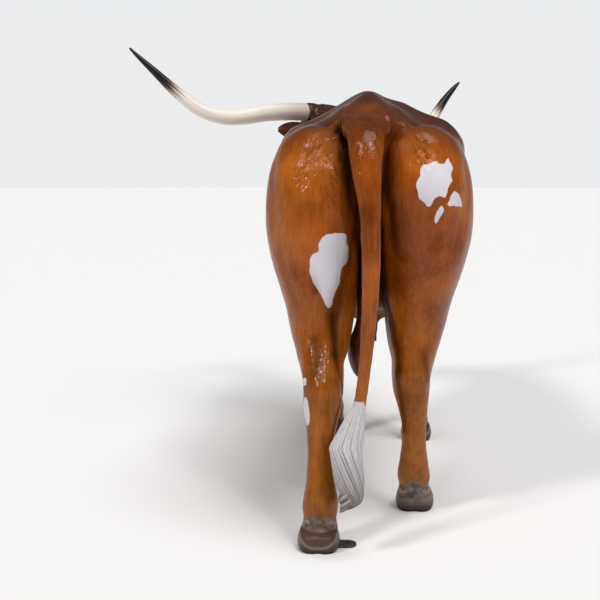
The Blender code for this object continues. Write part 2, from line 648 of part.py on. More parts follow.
def tab(name):
    """A flat steel strip on the floor with a rounded end and a hole for the pin."""
    root, tip, middle, width, thick = TAB
    radius = width / 2
    centre = tip - radius
    plan = [(root, middle - radius), (root, middle + radius)]
    for angle in np.linspace(math.pi / 2, -math.pi / 2, 13):
        plan.append((centre + radius * math.cos(angle), middle + radius * math.sin(angle)))
    plate = loft(name, [[(x, y, z) for x, y in plan] for z in (0.0, thick)])
    turns = np.linspace(0, 2 * math.pi, 17)[:-1]
    hole = [(centre + TAB_HOLE * math.cos(a), middle + TAB_HOLE * math.sin(a)) for a in turns]
    drill = loft("drill", [[(x, y, z) for x, y in hole] for z in (-0.01, thick + 0.01)])
    take_away(plate, drill)
    bpy.data.objects.remove(drill)
    return plate


def stroke_paths():
    """Every stroke as radius, height, path and whether it is mirrored, in the figure's own frame."""
    for side, radius, height, path in STROKES:
        yield radius, height, [Vector(p) for p in path]
        if side == "both":
            yield radius, height, [Vector((-x, y, z)) for x, y, z in path]
    for x, y in HOOF_AT.values():
        for side in (-DEWCLAW_APART, DEWCLAW_APART):
            path = [Vector((x + side, y + 0.020, 0.104)), Vector((x + side * 1.1, y + 0.030, 0.088))]
            yield DEWCLAW_RADIUS, DEWCLAW_RISE, path
    for side, radius, height, path in HEAD_STROKES:
        yield radius, height, [head_point(*p) for p in path]
        if side == "both":
            yield radius, height, [head_point(a, -r, o) for a, r, o in path]


def shape_strokes(mesh):
    """Moves the skin along its normals near each stroke's path, fading out with the distance."""
    count = len(mesh.vertices)
    points = np.empty(count * 3)
    mesh.vertices.foreach_get("co", points)
    points = points.reshape(-1, 3)
    normals = np.empty(count * 3)
    mesh.vertices.foreach_get("normal", normals)
    normals = normals.reshape(-1, 3)
    shift = np.zeros(count)
    for radius, height, path in stroke_paths():
        path = np.array(path)
        low, high = path.min(axis=0) - 3 * radius, path.max(axis=0) + 3 * radius
        near = np.flatnonzero(((points > low) & (points < high)).all(axis=1))
        distance = np.full(len(near), np.inf)
        for a, b in zip(path[:-1], path[1:]):
            along = np.clip((points[near] - a) @ (b - a) / max((b - a) @ (b - a), 1e-12), 0, 1)
            offset = points[near] - a - along[:, None] * (b - a)
            distance = np.minimum(distance, np.linalg.norm(offset, axis=1))
        shift[near] += height * np.exp(-((distance / radius) ** 2))
    points += normals * shift[:, None]
    mesh.vertices.foreach_set("co", points.ravel())
    mesh.update()


def apply_modifiers(made):
    graph = bpy.context.evaluated_depsgraph_get()
    mesh = bpy.data.meshes.new_from_object(made.evaluated_get(graph))
    made.modifiers.clear()
    made.data = mesh


def fuse(forms, name, voxel, blend):
    """One skin over overlapping forms, with the creases between them blended over about this width."""
    work = bmesh.new()
    for form in forms:
        work.from_mesh(form.data)
        bpy.data.objects.remove(form)
    mesh = bpy.data.meshes.new(name)
    work.to_mesh(mesh)
    work.free()
    made = bpy.data.objects.new(name, mesh)
    bpy.context.scene.collection.objects.link(made)
    remesh = made.modifiers.new("one_skin", "REMESH")
    remesh.mode = "VOXEL"
    remesh.voxel_size = voxel
    smooth = made.modifiers.new("blend", "SMOOTH")
    smooth.factor = 0.5
    smooth.iterations = round(4 * (blend / voxel) ** 2)
    apply_modifiers(made)
    return made


def thin_out(made, triangles):
    """Fewer triangles over the same shape."""
    mesh = made.data
    mesh.calc_loop_triangles()
    decimate = made.modifiers.new("thin_out", "DECIMATE")
    decimate.ratio = triangles / len(mesh.loop_triangles)
    apply_modifiers(made)


def copy_of(made, name):
    other = bpy.data.objects.new(name, made.data.copy())
    bpy.context.scene.collection.objects.link(other)
    return other


def boolean(made, other, operation):
    modifier = made.modifiers.new("cut", "BOOLEAN")
    modifier.operation = operation
    modifier.object = other
    modifier.solver = "EXACT"
    apply_modifiers(made)


def take_away(made, other):
    boolean(made, other, "DIFFERENCE")


def grow(made, gap):
    """Moves every face out by the gap."""
    work = bmesh.new()
    work.from_mesh(made.data)
    work.normal_update()
    shifts = [vertex.normal * (gap * vertex.calc_shell_factor()) for vertex in work.verts]
    for vertex, shift in zip(work.verts, shifts):
        vertex.co += shift
    work.to_mesh(made.data)
    work.free()


def let_in(host, guest):
    """Cuts a socket for the guest out of the host, wider than the guest by the gap."""
    cutter = copy_of(guest, "cutter")
    grow(cutter, CUT_GAP)
    take_away(host, cutter)
    bpy.data.objects.remove(cutter)


def upright(across, ahead, up):
    return Vector((across, ahead, up))


def along_the_face(across, ahead, up):
    return head_point(ahead, across, up)


def prism(corners, low, high, place):
    """A block with this (ahead, up) outline, from low to high across; place turns its numbers to a point."""
    return loft("prism", [[place(across, ahead, up) for ahead, up in corners] for across in (low, high)])


def part_off(flesh, name, corners, low, high, place=upright):
    """Parts the flesh inside a block off as a node of its own, with a thin gap to what is left."""
    block = prism(corners, low, high, place)
    piece = copy_of(flesh, name)
    boolean(piece, block, "INTERSECT")
    grow(block, CUT_GAP)
    take_away(flesh, block)
    bpy.data.objects.remove(block)
    return piece


def flesh_form(voxel, blend):
    forms = [trunk_form(), neck_form(), head_form(), pipe("tail_form", TAIL, 60, 20)]
    forms += [leg_form(name) for name in SWING]
    for rows, side in ((HORN_LEFT, -1), (HORN_RIGHT, 1)):
        rings = horn_rings(rows, side, SLEEVE_START, SLEEVE_END, SLEEVE_STEPS, grow=SLEEVE_THICKNESS)
        forms.append(loft("sleeve_form", rings))
    flesh = fuse(forms, "torso", voxel, blend)
    shape_strokes(flesh.data)
    return flesh


def build():
    clear_scene()
    torso = flesh_form(VOXEL, BLEND_WIDTH)
    thin_out(torso, FLESH_TRIANGLES)
    guests = {}
    for side, word, rows in ((-1, "left", HORN_LEFT), (1, "right", HORN_RIGHT)):
        tip = rows[-1][0]
        guests["horn_" + word] = loft("horn_" + word, horn_rings(rows, side, HORN_ROOT, tip, HORN_STEPS))
        guests["ear_" + word] = ear("ear_" + word, side)
        along, right, out = EYE_AT
        guests["eye_" + word] = ball("eye_" + word, head_point(along, right * side, out), EYE_RADIUS)
    for leg in SWING:
        guests["hoof_" + leg] = hoof("hoof_" + leg, leg)
    guests["tail_switch"] = switch("tail_switch")
    guests["scrotum"] = pipe("scrotum", SCROTUM, 12, 14)
    for guest in guests.values():
        let_in(torso, guest)
    guests["anchor_tab"] = tab("anchor_tab")
    let_in(guests["hoof_hind_left"], guests["anchor_tab"])
    tail = part_off(torso, "tail", TAIL_BLOCK, -TAIL_BLOCK_REACH, TAIL_BLOCK_REACH)
    parts = [torso, tail]
    for side, word in ((-1, "left"), (1, "right")):
        low, high = sorted((side * CUT_GAP / 2, side * BLOCK_REACH))
        parts.append(part_off(torso, "leg_hind_" + word, HIND_BLOCK, low, high))
        low, high = sorted((side * FORE_BLOCK_INNER, side * BLOCK_REACH))
        parts.append(part_off(torso, "leg_fore_" + word, FORE_BLOCK, low, high))
    head = part_off(torso, "head", HEAD_BLOCK, -BLOCK_REACH, BLOCK_REACH, along_the_face)
    neck = part_off(torso, "neck", NECK_BLOCK, -BLOCK_REACH, BLOCK_REACH)
    parts += [head, neck]
    for made in parts + list(guests.values()):
        made.data.transform(Matrix.Translation(CENTRE_ON_FLOOR))
        made.data.shade_smooth()
        made.data.set_sharp_from_angle(angle=SHARP_FROM)
    return parts, guests


def paint(parts, guests):
    coat = ("9A5526", 0.30)
    finishes = {
        "horn": ("D9CDAE", 0.25),
        "ear": coat,
        "eye": ("1A100B", 0.08),
        "hoof": ("4A443C", 0.40),
        "tail_switch": ("C9C1BE", 0.40),
        "scrotum": ("5A2A20", 0.35),
        "anchor_tab": ("4C4A48", 0.45, 1.0),
    }
    for made in parts:
        made.data.materials.clear()
        made.data.materials.append(material(made.name + "_coat", *coat))
    for name, made in guests.items():
        key = next(k for k in finishes if name.startswith(k))
        made.data.materials.clear()
        made.data.materials.append(material(name + "_finish", *finishes[key]))


if __name__ == "__main__":
    paint(*build())
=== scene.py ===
"""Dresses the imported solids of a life-size painted glass-fibre statue of a longhorn bull.

One sculpted skin, with the ears grown into it, takes the place of the parted flesh. Horns, eyes, hooves,
dewclaws, the tail's switch, the scrotum, the sheath's tuft and the steel anchor tab are finer pieces over the
plain solids. The figure is set out as the solids are, with X = 0 on the spine and Y = 0 at the rearmost heel,
and moved on to the frame's origin once each piece is made.
"""

import math

import bmesh
import bpy
import numpy as np
from mathutils import Matrix, Vector
from mathutils.bvhtree import BVHTree
from mathutils.kdtree import KDTree


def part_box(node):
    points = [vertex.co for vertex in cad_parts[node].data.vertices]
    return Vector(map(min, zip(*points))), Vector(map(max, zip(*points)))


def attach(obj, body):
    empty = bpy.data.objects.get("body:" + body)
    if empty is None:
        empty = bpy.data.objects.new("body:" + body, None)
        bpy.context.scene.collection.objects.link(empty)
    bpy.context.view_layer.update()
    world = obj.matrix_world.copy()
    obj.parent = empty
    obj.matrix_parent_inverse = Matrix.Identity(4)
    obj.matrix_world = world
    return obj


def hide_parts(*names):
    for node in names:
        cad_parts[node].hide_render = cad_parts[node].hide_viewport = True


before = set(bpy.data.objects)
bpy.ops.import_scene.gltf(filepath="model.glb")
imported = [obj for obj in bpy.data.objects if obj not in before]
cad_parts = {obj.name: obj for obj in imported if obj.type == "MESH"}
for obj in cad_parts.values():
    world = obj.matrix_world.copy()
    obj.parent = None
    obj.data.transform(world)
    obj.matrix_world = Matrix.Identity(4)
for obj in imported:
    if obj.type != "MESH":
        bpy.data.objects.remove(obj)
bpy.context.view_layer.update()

bl_info = {
    "name": "Longhorn bull statue",
    "version": (1, 0, 0),
    "blender": (4, 5, 0),
    "location": "View3D > Sidebar > Statue",
    "description": "Builds the painted skin, horns, hooves and other pieces of a life-size bull statue",
    "category": "Add Mesh",
}

BODY = "root"

# The move from the figure's own setting-out to the frame's origin, on the floor under the middle of its box.
TO_ORIGIN = Vector((0.301, -1.2656, 0.0))
HIP_HEIGHT = 1.462
BELLY_HEIGHT = 0.59

HEAD_AT = Vector((-0.21, 2.04, 1.46))
HEAD_YAW, HEAD_PITCH, HEAD_ROLL = math.radians(35), math.radians(41), math.radians(2.9)

OUTLINE_STEPS = 96
WIDTH_HEIGHTS = (0.07, 0.27, 0.5, 0.73, 0.93)

# Trunk: y, top, bottom, then half-widths at WIDTH_HEIGHTS of the height, counted from the top.
TRUNK = (
    (0.11, 1.356, 1.262, 0.04, 0.068, 0.06, 0.045, 0.03),
    (0.16, 1.384, 1.215, 0.06, 0.105, 0.09, 0.065, 0.04),
    (0.24, 1.412, 1.06, 0.1, 0.185, 0.15, 0.11, 0.06),
    (0.35, 1.441, 0.85, 0.1, 0.252, 0.255, 0.225, 0.12),
    (0.46, HIP_HEIGHT, 0.72, 0.112, 0.294, 0.285, 0.25, 0.14),
    (0.56, 1.459, 0.69, 0.112, 0.292, 0.29, 0.262, 0.15),
    (0.68, 1.445, 0.665, 0.11, 0.252, 0.29, 0.272, 0.16),
    (0.8, 1.432, 0.64, 0.122, 0.246, 0.302, 0.288, 0.17),
    (0.97, 1.418, 0.61, 0.122, 0.262, 0.332, 0.318, 0.19),
    (1.15, 1.412, BELLY_HEIGHT, 0.122, 0.272, 0.347, 0.325, 0.19),
    (1.33, 1.425, 0.6, 0.11, 0.255, 0.325, 0.305, 0.175),
    (1.5, 1.455, 0.61, 0.085, 0.21, 0.285, 0.275, 0.16),
    (1.66, 1.445, 0.605, 0.07, 0.172, 0.24, 0.245, 0.15),
    (1.8, 1.34, 0.6, 0.055, 0.125, 0.185, 0.2, 0.12),
    (1.9, 1.16, 0.64, 0.04, 0.085, 0.125, 0.14, 0.085),
    (1.955, 1.03, 0.74, 0.025, 0.045, 0.065, 0.07, 0.045),
)

# Neck: centre x, y, z, then reach up, reach down and half-width, which has these shares at WIDTH_HEIGHTS.
NECK_WIDTHS = (0.42, 0.86, 1.0, 0.84, 0.34)
NECK = (
    (0.0, 1.42, 1.08, 0.32, 0.36, 0.215),
    (0.0, 1.6, 1.135, 0.31, 0.37, 0.195),
    (-0.02, 1.76, 1.195, 0.275, 0.43, 0.165),
    (-0.075, 1.88, 1.255, 0.232, 0.34, 0.136),
    (-0.14, 1.97, 1.315, 0.186, 0.245, 0.116),
    (-0.19, 2.03, 1.365, 0.14, 0.165, 0.1),
)

# Head: distance from the poll along the face, top, bottom, then half-widths as for the trunk.
HEAD = (
    (-0.065, -0.03, -0.14, 0.045, 0.066, 0.066, 0.058, 0.04),
    (-0.025, 0.034, -0.185, 0.074, 0.098, 0.09, 0.078, 0.05),
    (0.03, 0.048, -0.225, 0.082, 0.112, 0.104, 0.09, 0.055),
    (0.095, 0.046, -0.25, 0.082, 0.118, 0.11, 0.098, 0.058),
    (0.16, 0.042, -0.254, 0.074, 0.121, 0.108, 0.095, 0.055),
    (0.22, 0.036, -0.24, 0.062, 0.108, 0.098, 0.086, 0.05),
    (0.29, 0.03, -0.208, 0.05, 0.083, 0.083, 0.07, 0.042),
    (0.36, 0.026, -0.178, 0.044, 0.067, 0.071, 0.058, 0.036),
    (0.43, 0.023, -0.16, 0.046, 0.069, 0.074, 0.06, 0.038),
    (0.482, 0.008, -0.152, 0.048, 0.071, 0.076, 0.061, 0.04),
    (0.518, -0.018, -0.14, 0.041, 0.061, 0.066, 0.054, 0.033),
    (0.538, -0.048, -0.116, 0.022, 0.038, 0.042, 0.034, 0.02),
)

# Legs: z, centre out from the spine, centre y, half-width, reach forward, reach back.
HIND_LEG = (
    (1.356, 0.122, 0.365, 0.03, 0.05, 0.075),
    (1.335, 0.134, 0.356, 0.088, 0.13, 0.17),
    (1.292, 0.15, 0.348, 0.134, 0.19, 0.216),
    (1.245, 0.165, 0.345, 0.145, 0.228, 0.228),
    (1.18, 0.18, 0.345, 0.151, 0.26, 0.25),
    (1.08, 0.188, 0.352, 0.154, 0.29, 0.272),
    (0.98, 0.186, 0.362, 0.153, 0.29, 0.28),
    (0.88, 0.175, 0.37, 0.143, 0.27, 0.272),
    (0.8, 0.165, 0.37, 0.128, 0.238, 0.245),
    (0.73, 0.158, 0.352, 0.113, 0.19, 0.205),
    (0.67, 0.154, 0.322, 0.102, 0.15, 0.17),
    (0.61, 0.149, 0.282, 0.088, 0.118, 0.148),
    (0.555, 0.147, 0.243, 0.072, 0.092, 0.13),
    (0.51, 0.142, 0.212, 0.066, 0.076, 0.112),
    (0.46, 0.143, 0.195, 0.062, 0.068, 0.084),
    (0.41, 0.1455, 0.186, 0.0535, 0.056, 0.062),
    (0.34, 0.149, 0.186, 0.0425, 0.044, 0.047),
    (0.26, 0.149, 0.19, 0.043, 0.042, 0.046),
    (0.2, 0.149, 0.195, 0.0485, 0.046, 0.054),
    (0.16, 0.149, 0.202, 0.055, 0.05, 0.06),
    (0.125, 0.15, 0.212, 0.0575, 0.05, 0.056),
    (0.094, 0.151, 0.222, 0.0515, 0.047, 0.048),
    (0.068, 0.152, 0.23, 0.059, 0.043, 0.05),
    (0.05, 0.153, 0.234, 0.06, 0.037, 0.052),
    (0.025, 0.153, 0.238, 0.052, 0.03, 0.042),
)
FORE_LEG = (
    (1.34, 0.08, 1.52, 0.02, 0.035, 0.045),
    (1.29, 0.105, 1.545, 0.05, 0.08, 0.09),
    (1.22, 0.145, 1.58, 0.078, 0.118, 0.13),
    (1.12, 0.18, 1.625, 0.09, 0.15, 0.17),
    (1.0, 0.195, 1.645, 0.094, 0.17, 0.2),
    (0.89, 0.194, 1.615, 0.09, 0.145, 0.18),
    (0.79, 0.19, 1.57, 0.08, 0.11, 0.138),
    (0.7, 0.188, 1.545, 0.069, 0.084, 0.098),
    (0.61, 0.187, 1.535, 0.059, 0.066, 0.074),
    (0.52, 0.186, 1.53, 0.052, 0.055, 0.058),
    (0.45, 0.186, 1.532, 0.055, 0.06, 0.054),
    (0.405, 0.186, 1.53, 0.056, 0.061, 0.052),
    (0.355, 0.186, 1.524, 0.047, 0.047, 0.048),
    (0.29, 0.186, 1.518, 0.0405, 0.039, 0.042),
    (0.22, 0.186, 1.514, 0.0415, 0.039, 0.045),
    (0.17, 0.186, 1.516, 0.05, 0.046, 0.055),
    (0.135, 0.186, 1.524, 0.055, 0.049, 0.057),
    (0.096, 0.186, 1.536, 0.051, 0.047, 0.048),
    (0.068, 0.186, 1.545, 0.058, 0.043, 0.05),
    (0.05, 0.186, 1.549, 0.059, 0.037, 0.052),
    (0.025, 0.186, 1.552, 0.051, 0.03, 0.042),
)
LEG_ROWS = {"hind": HIND_LEG, "fore": FORE_LEG}
LEG_SIDES = {"left": -1, "right": 1}
# Stride: the height where a leg's swing starts and how far its foot is set forward of the square stance.
SWING = {
    "hind_left": (1.15, -0.197),
    "hind_right": (1.15, 0.255),
    "fore_left": (1.05, 0.02),
    "fore_right": (1.05, -0.02),
}
SWING_POWER = 1.3
# How square a leg's section is at heights up it: the power of the oval's cosine and sine.
LEG_SQUARENESS = ((0.75, 0.92), (0.95, 0.8))
# Outward shift of each leg at heights up it; the left fore foot is set under the chest.
OUTWARD = {
    "hind_left": ((0.03, -0.002), (0.16, -0.002), (0.34, 0.0)),
    "hind_right": ((0.03, 0.0145), (0.33, 0.0085), (0.46, 0.003), (0.7, 0.006), (1.1, 0.0)),
    "fore_left": ((0.03, -0.026), (0.45, -0.02), (0.9, 0.0)),
    "fore_right": ((0.03, 0.03), (0.45, 0.016), (0.9, 0.0)),
}

# Tail: centre x, y, z, half-width, half-depth. It ends inside the switch.
TAIL = (
    (0.0, 0.34, 1.352, 0.022, 0.03),
    (0.0, 0.26, 1.344, 0.038, 0.036),
    (-0.01, 0.18, 1.334, 0.056, 0.042),
    (-0.016, 0.115, 1.325, 0.064, 0.047),
    (-0.012, 0.058, 1.306, 0.063, 0.05),
    (-0.0105, 0.005, 1.278, 0.057, 0.045),
    (-0.01, -0.03, 1.22, 0.049, 0.039),
    (-0.006, -0.048, 1.165, 0.0435, 0.034),
    (0.0, -0.06, 1.105, 0.0365, 0.031),
    (0.0045, -0.066, 1.03, 0.0318, 0.0285),
    (0.007, -0.07, 0.94, 0.03, 0.027),
    (0.0065, -0.072, 0.85, 0.0275, 0.026),
    (0.0025, -0.074, 0.76, 0.0255, 0.025),
    (-0.003, -0.076, 0.68, 0.0228, 0.0235),
    (-0.009, -0.077, 0.61, 0.0208, 0.0215),
    (-0.015, -0.078, 0.555, 0.0195, 0.0205),
    (-0.0235, -0.078, 0.495, 0.02, 0.02),
    (-0.03, -0.078, 0.45, 0.019, 0.019),
)
# Switch: z, left edge, right edge, centre y, half-depth.
SWITCH = (
    (0.506, -0.0405, -0.005, -0.078, 0.02),
    (0.488, -0.0445, -0.0055, -0.078, 0.0225),
    (0.46, -0.0625, -0.006, -0.08, 0.026),
    (0.425, -0.0815, -0.008, -0.081, 0.03),
    (0.385, -0.103, -0.0105, -0.082, 0.033),
    (0.366, -0.113, -0.0115, -0.082, 0.034),
    (0.356, -0.1165, -0.012, -0.082, 0.0345),
    (0.344, -0.115, -0.0125, -0.082, 0.035),
    (0.325, -0.1125, -0.0135, -0.082, 0.035),
    (0.29, -0.107, -0.011, -0.081, 0.0345),
    (0.25, -0.1, -0.0075, -0.08, 0.033),
    (0.224, -0.0915, -0.0085, -0.079, 0.031),
    (0.204, -0.079, -0.0095, -0.078, 0.028),
    (0.186, -0.0795, -0.0155, -0.078, 0.024),
    (0.171, -0.0815, -0.037, -0.078, 0.018),
    (0.16, -0.079, -0.062, -0.078, 0.009),
)

# Horns, in the head's own frame: out from the poll, forward, up, radius. The right one is a little shorter.
HORN_LEFT = (
    (0.06, 0.0, -0.004, 0.043),
    (0.16, -0.005, -0.006, 0.0415),
    (0.26, -0.02, -0.015, 0.04),
    (0.36, -0.03, -0.029, 0.0385),
    (0.46, -0.03, -0.051, 0.0365),
    (0.56, -0.015, -0.061, 0.034),
    (0.66, 0.015, -0.037, 0.0305),
    (0.76, 0.06, 0.036, 0.0255),
    (0.86, 0.11, 0.13, 0.0165),
    (0.93, 0.145, 0.196, 0.0085),
    (0.955, 0.158, 0.222, 0.0045),
)
HORN_RIGHT = (
    (0.06, 0.0, 0.0, 0.043),
    (0.16, -0.005, -0.002, 0.0415),
    (0.26, -0.02, -0.007, 0.04),
    (0.36, -0.03, -0.017, 0.0385),
    (0.45, -0.03, -0.038, 0.0365),
    (0.54, -0.018, -0.055, 0.034),
    (0.63, 0.022, -0.037, 0.032),
    (0.708, 0.07, 0.032, 0.027),
    (0.797, 0.101, 0.13, 0.019),
    (0.869, 0.107, 0.207, 0.011),
    (0.893, 0.104, 0.232, 0.0045),
)
SIDES = ((-1, "left", HORN_LEFT), (1, "right", HORN_RIGHT))
# The hide's sleeve over the root of each horn: its two ends, out from the poll, and its thickness.
SLEEVE_START, SLEEVE_END, SLEEVE_THICKNESS = 0.065, 0.116, 0.004
# The horn's inner end, under that sleeve, and how far its painted bands are drawn out along each horn.
HORN_ROOT = 0.084
HORN_BANDS = {"left": 1.0, "right": 0.97}

# Ear, in the same frame as the horns: out, forward, up, half-width of the blade, depth of the cup.
EAR = (
    (0.078, 0.01, -0.08, 0.022, 0.02),
    (0.105, 0.004, -0.086, 0.03, 0.026),
    (0.145, -0.006, -0.092, 0.038, 0.026),
    (0.19, -0.018, -0.096, 0.041, 0.02),
    (0.238, -0.031, -0.098, 0.035, 0.013),
    (0.274, -0.041, -0.099, 0.021, 0.007),
    (0.293, -0.046, -0.1, 0.008, 0.003),
)
# The middle of the ear's root, in the same frame, and how far about it the skin's mesh is split finer.
EAR_ROOT = (0.112, 0.004, -0.086)
EAR_ROOT_REFINED = 0.055

# The skin's mesh is split finer this far about the head's middle, and once more about both eyes and nostrils,
# which are given as points of the head with a radius. The head is softened a little out to its own reach.
HEAD_MIDDLE = (0.22, 0.0, -0.09)
HEAD_REFINED, HEAD_SOFTENED = 0.36, 0.3
FACE_REFINED = (
    (0.185, -0.11, -0.02, 0.048),
    (0.185, 0.11, -0.02, 0.048),
    (0.48, -0.05, -0.075, 0.065),
    (0.48, 0.05, -0.075, 0.065),
)

# Hoof: plan of one half from the heel to the cleft between the claws, as (across, ahead).
HOOF_PLAN = (
    (0.0, 0.006),
    (0.026, 0.001),
    (0.049, 0.012),
    (0.0625, 0.04),
    (0.0655, 0.072),
    (0.06, 0.108),
    (0.044, 0.136),
    (0.024, 0.15),
    (0.009, 0.146),
    (0.003, 0.132),
    (0.0015, 0.112),
)
# Height at the heel, height at the toe, scale across, heel moved ahead, toe moved back.
HOOF_LEVELS = (
    (0.0, 0.0, 0.88, 0.006, 0.002),
    (0.01, 0.012, 0.975, 0.001, 0.001),
    (0.028, 0.03, 1.02, 0.0, 0.004),
    (0.044, 0.052, 0.975, 0.003, 0.014),
    (0.054, 0.072, 0.9, 0.01, 0.026),
    (0.058, 0.083, 0.8, 0.02, 0.038),
)
HOOF_AT = {
    "hind_left": (-0.1525, -0.034),
    "hind_right": (0.169, 0.42),
    "fore_left": (-0.16, 1.478),
    "fore_right": (0.216, 1.44),
}
# Dewclaws stand behind the fetlock, this far each side of the middle and at this height on each foot.
DEWCLAW_APART = 0.035
DEWCLAW_HEIGHT = {"hind_left": 0.094, "hind_right": 0.08, "fore_left": 0.094, "fore_right": 0.094}
# Along a claw: share of that distance, rise and radius; its middle is sunk this far into the skin.
DEWCLAW = (
    (0.6, 0.001, 0.0075),
    (0.82, 0.0, 0.0125),
    (1.08, -0.001, 0.0135),
    (1.28, -0.004, 0.01),
    (1.36, -0.007, 0.0035),
)
DEWCLAW_SUNK = 0.005
# Brown paint runs down over the heel to an arch: its height at the sides, how far it dips and its half-width.
HEEL_ARCH = (0.058, 0.037, 0.056)

# Scrotum: centre x, y, z, half-width, half-depth.
SCROTUM = (
    (-0.014, 0.33, 0.8, 0.024, 0.03),
    (-0.016, 0.325, 0.74, 0.022, 0.03),
    (-0.019, 0.318, 0.695, 0.022, 0.034),
    (-0.0225, 0.312, 0.661, 0.028, 0.04),
    (-0.026, 0.308, 0.634, 0.036, 0.046),
    (-0.0285, 0.304, 0.6, 0.0395, 0.051),
    (-0.0285, 0.302, 0.575, 0.0395, 0.052),
    (-0.0275, 0.3, 0.548, 0.034, 0.048),
    (-0.0265, 0.298, 0.525, 0.025, 0.038),
    (-0.026, 0.298, 0.507, 0.013, 0.02),
)
# The seam down its rear, and twice the Y of its middle, which mirrors the seam to its front.
SCROTUM_SEAM = ((-0.02, 0.276, 0.7), (-0.0285, 0.253, 0.6), (-0.0275, 0.252, 0.56), (-0.026, 0.28, 0.512))
SEAM_MIRROR = 0.61

# Sheath: the middle of its dark tip, the path of the tip from there as (ahead, up), and its radii.
SHEATH_TIP = (0.018, 0.8, 0.59)
SHEATH_PATH = ((0.02, 0.03), (0, 0), (-0.006, -0.022), (-0.008, -0.032))
SHEATH_RADII = (0.018, 0.016, 0.011, 0.003)

# Steel tab that pins the left hind hoof down: inner end and outer end across, middle ahead, width, thickness.
TAB = (-0.132, -0.033, 0.064, 0.062, 0.008)
TAB_HOLE_RADIUS = 0.008

# Broad strokes over the fused flesh: raised if the height is positive, pressed in if negative. Each has a
# radius, a height and a path of points, and is made on both sides where the first word is "both".
STROKES = (
    ("both", 0.065, 0.03, ((0.275, 0.45, 1.345), (0.28, 0.54, 1.335))),
    ("once", 0.06, 0.034, (
        (0.25, 0.44, 1.4), (0.3, 0.43, 1.352), (0.318, 0.46, 1.315), (0.322, 0.46, 1.285),
    )),
    ("once", 0.045, 0.012, ((0.285, 0.44, 1.365), (0.308, 0.44, 1.335))),
    ("once", 0.055, 0.01, ((-0.29, 0.4, 1.345), (-0.305, 0.46, 1.31))),
    ("once", 0.055, 0.012, ((0.11, 0.46, 1.408), (0.19, 0.46, 1.39), (0.25, 0.45, 1.372))),
    ("once", 0.05, -0.01, ((0.062, 0.38, 1.445), (0.062, 0.52, 1.45))),
    ("once", 0.024, 0.018, ((-0.086, 0.075, 1.324), (-0.092, 0.108, 1.346))),
    ("once", 0.024, 0.012, ((0.042, 0.072, 1.322), (0.044, 0.106, 1.346))),
    ("once", 0.024, 0.009, ((-0.018, 0.33, 1.44), (-0.052, 0.215, 1.402), (-0.08, 0.115, 1.356))),
    ("once", 0.024, 0.009, ((0.01, 0.33, 1.44), (0.038, 0.215, 1.402), (0.062, 0.115, 1.356))),
    ("both", 0.04, -0.01, ((0.125, 0.19, 1.345), (0.165, 0.32, 1.395))),
    ("both", 0.06, 0.01, ((0.19, 0.17, 1.25), (0.18, 0.1, 1.12), (0.16, 0.09, 0.99))),
    ("once", 0.03, 0.016, ((-0.108, 0.15, 1.33), (-0.1, 0.135, 1.29))),
    ("once", 0.036, 0.018, (
        (-0.098, 0.13, 1.28), (-0.096, 0.11, 1.18), (-0.092, 0.1, 1.08), (-0.09, 0.105, 0.98),
    )),
    ("once", 0.034, 0.022, ((0.102, 0.15, 1.325), (0.097, 0.135, 1.285))),
    ("once", 0.044, 0.03, (
        (0.104, 0.13, 1.29), (0.1, 0.112, 1.21), (0.096, 0.104, 1.12), (0.092, 0.11, 0.96),
    )),
    ("once", 0.04, -0.01, ((-0.075, 0.2, 0.665), (-0.078, 0.17, 0.6))),
    ("both", 0.04, -0.008, ((0.3, 0.2, 1.18), (0.285, 0.13, 1.02), (0.245, 0.12, 0.88), (0.215, 0.13, 0.76))),
    ("both", 0.07, -0.014, ((0.285, 0.62, 1.3), (0.3, 0.7, 1.15), (0.28, 0.72, 0.98))),
    ("both", 0.06, -0.012, ((0.25, 0.62, 0.86), (0.24, 0.58, 0.74))),
    ("both", 0.06, 0.01, ((0.3, 0.4, 1.05), (0.28, 0.5, 0.9))),
    ("both", 0.022, -0.012, ((0.2, 0.185, 0.64), (0.19, 0.14, 0.56), (0.186, 0.11, 0.5))),
    ("both", 0.022, -0.014, ((0.085, 0.15, 0.64), (0.095, 0.11, 0.56), (0.1, 0.085, 0.5))),
    ("both", 0.07, 0.012, ((0.2, 1.62, 1.28), (0.26, 1.52, 1.1))),
    ("both", 0.045, -0.01, ((0.27, 1.36, 1.3), (0.32, 1.34, 1.12), (0.32, 1.36, 0.96))),
    ("both", 0.045, 0.012, ((0.225, 1.76, 1.04), (0.205, 1.8, 0.98))),
    ("both", 0.035, -0.01, ((0.26, 1.5, 0.94), (0.27, 1.62, 0.99), (0.235, 1.72, 0.99))),
    ("both", 0.05, 0.01, ((0.265, 1.42, 0.86), (0.26, 1.46, 0.93))),
    ("both", 0.05, -0.01, ((0.14, 1.72, 1.33), (0.175, 1.8, 1.18), (0.16, 1.88, 1.06))),
    ("once", 0.05, 0.02, ((0.0, 1.93, 0.9), (0.0, 1.9, 0.76), (0.0, 1.83, 0.65))),
    ("once", 0.06, -0.006, ((0.0, 0.62, 1.455), (0.0, 0.9, 1.425), (0.0, 1.2, 1.415))),
    ("once", 0.035, 0.03, ((0.0, 0.86, 0.63), (0.0, 1.0, 0.6), (0.0, 1.12, 0.6))),
    ("once", 0.026, 0.036, ((0.02, 0.8, 0.625), (0.015, 0.86, 0.605))),
)
# Creases blended wider than the rest: the width of the blend, the radius that it reaches and its path.
SOFTENED = (
    (0.038, 0.062, (
        (-0.075, 0.09, 1.35), (-0.045, 0.11, 1.375), (0.0, 0.12, 1.385),
        (0.045, 0.11, 1.375), (0.075, 0.09, 1.35),
    )),
)
